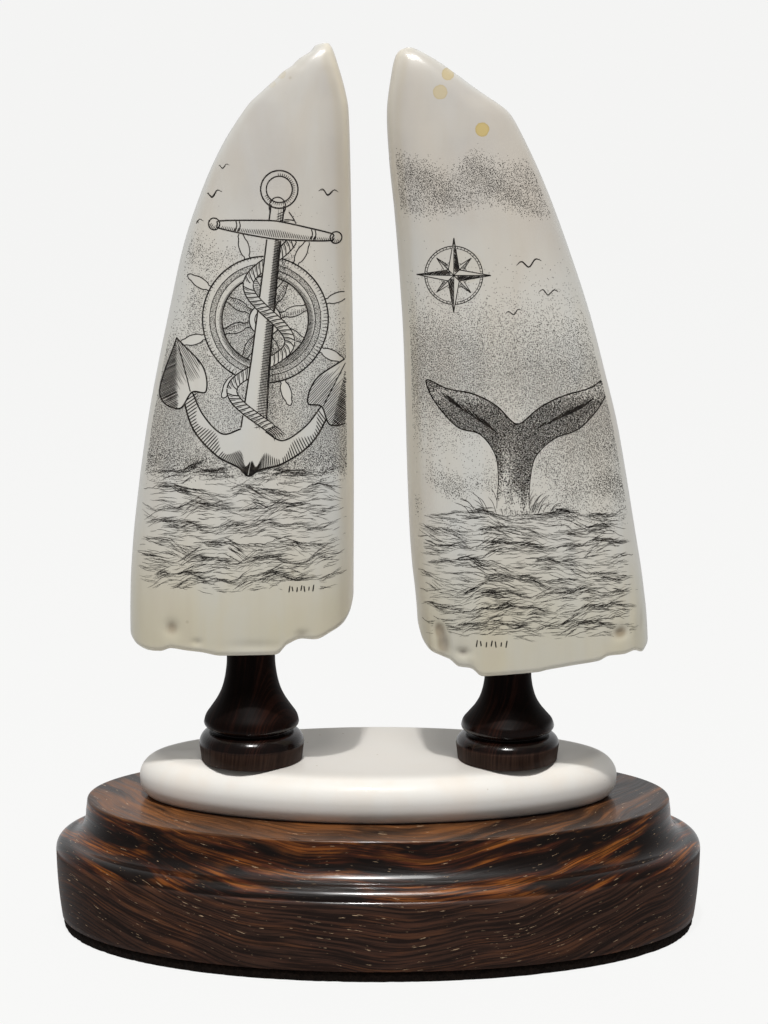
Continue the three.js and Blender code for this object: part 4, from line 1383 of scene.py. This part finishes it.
class SCRIM_OT_stage(bpy.types.Operator):
    """Studio: pale floor that sweeps up behind, a key light and a softbox above in front, the camera"""
    bl_idname = "scrim.stage"
    bl_label = "Studio and Camera"

    def execute(self, context):
        s = context.scene.scrimshaw
        scene = context.scene
        material, _, shader, _ = new_finish("Pale lit paper", Roughness=1.0, Specular_IOR_Level=0.0,
                                            Emission_Strength=0.885)
        shader.inputs["Base Color"].default_value = (0.045, 0.045, 0.045, 1)
        shader.inputs["Emission Color"].default_value = (*s.colours.floor, 1)
        bend = np.radians(np.linspace(0, 90, 16))
        y = np.concatenate([[-3000], 1600 + 900 * np.sin(bend), [2500]])
        z = np.concatenate([[0], 900 * (1 - np.cos(bend)), [3600]])
        x = np.array([-4000.0, 4000.0])
        points = np.stack(np.broadcast_arrays(x[None, :], y[:, None], z[:, None]), -1).reshape(-1, 3)
        k = np.arange(len(y) - 1) * 2
        floor = put_mesh("studio_floor", points, [np.stack([k, k + 1, k + 3, k + 2], 1)], material)
        floor.visible_glossy = False

        world = bpy.data.worlds.new("Studio")
        scene.world = world
        world.use_nodes = True
        w = Nodes(world.node_tree)
        toward = w.add("ShaderNodeTexCoord").outputs["Generated"]
        behind = w.add("ShaderNodeSeparateXYZ", {0: toward}).outputs[1]
        background = world.node_tree.nodes["Background"]
        background.inputs[0].default_value = (0.98, 0.99, 1.0, 1)
        w.link(w.spread(behind, 0.0, 0.85, 0.12, 0.66), background.inputs[1])

        for name, wide, deep, power, spot in (("Key light", 0.05, 0.04, 12.0, (-0.05, -0.52, 1.30)),
                                              ("Softbox", 0.42, 0.46, 8.3, (0.0, -0.62, 1.36))):
            light = bpy.data.lights.new(name, "AREA")
            light.shape, light.size, light.size_y, light.energy = "RECTANGLE", wide, deep, power
            light.color = (1.0, 0.99, 0.975)
            box = bpy.data.objects.new(name, light)
            box.location = spot
            dx, dy, dz = np.array([0.0, 0.0, 0.07]) - np.array(spot)
            box.rotation_euler = (math.atan2(math.hypot(dx, dy), -dz), 0,
                                  math.atan2(dy, dx) - math.pi / 2)
            scene.collection.objects.link(box)

        lens = bpy.data.cameras.new("Camera")
        lens.lens, lens.sensor_width, lens.sensor_fit = 88.24, 36.0, "AUTO"
        lens.clip_start, lens.clip_end = 0.02, 20.0
        camera = bpy.data.objects.new("Camera", lens)
        camera.location = (0.00143, -0.6, 0.21525)
        camera.rotation_euler = (math.radians(90 - 10.518), 0, 0)
        scene.collection.objects.link(camera)
        scene.camera = camera
        scene.view_settings.view_transform = "Standard"
        return {"FINISHED"}


class SCRIM_PT_panel(bpy.types.Panel):
    """Sizes, colours and pieces of the scrimshaw stand"""
    bl_idname = "SCRIM_PT_panel"
    bl_label = "Scrimshaw Teeth"
    bl_space_type = "VIEW_3D"
    bl_region_type = "UI"
    bl_category = "Scrimshaw"

    def draw(self, context):
        s = context.scene.scrimshaw
        for part in (s.base, s.plate, s.left_pedestal, s.right_pedestal, s.left_tooth, s.right_tooth,
                     s.colours):
            column = self.layout.box().column()
            for key in part.__annotations__:
                column.prop(part, key)
        self.layout.prop(s, "forward")
        for operator in OPERATORS:
            self.layout.operator(operator.bl_idname)


OPERATORS = (SCRIM_OT_stage, SCRIM_OT_felt, SCRIM_OT_base, SCRIM_OT_plate, SCRIM_OT_pedestals,
             SCRIM_OT_teeth, SCRIM_OT_pictures)
CLASSES = (BaseSizes, PlateSizes, PedestalSizes, ToothSizes, Colours, Settings, *OPERATORS,
           SCRIM_PT_panel)


def register():
    for item in CLASSES:
        bpy.utils.register_class(item)
    bpy.types.Scene.scrimshaw = bpy.props.PointerProperty(type=Settings, name="Scrimshaw",
                                                          description="Sizes and colours of the stand")


def unregister():
    del bpy.types.Scene.scrimshaw
    for item in reversed(CLASSES):
        bpy.utils.unregister_class(item)


def main():
    register()
    fill_defaults(bpy.context.scene.scrimshaw)
    for operator in OPERATORS:
        group_name, call = operator.bl_idname.split(".")
        getattr(getattr(bpy.ops, group_name), call)()


if __name__ == "__main__":
    main()
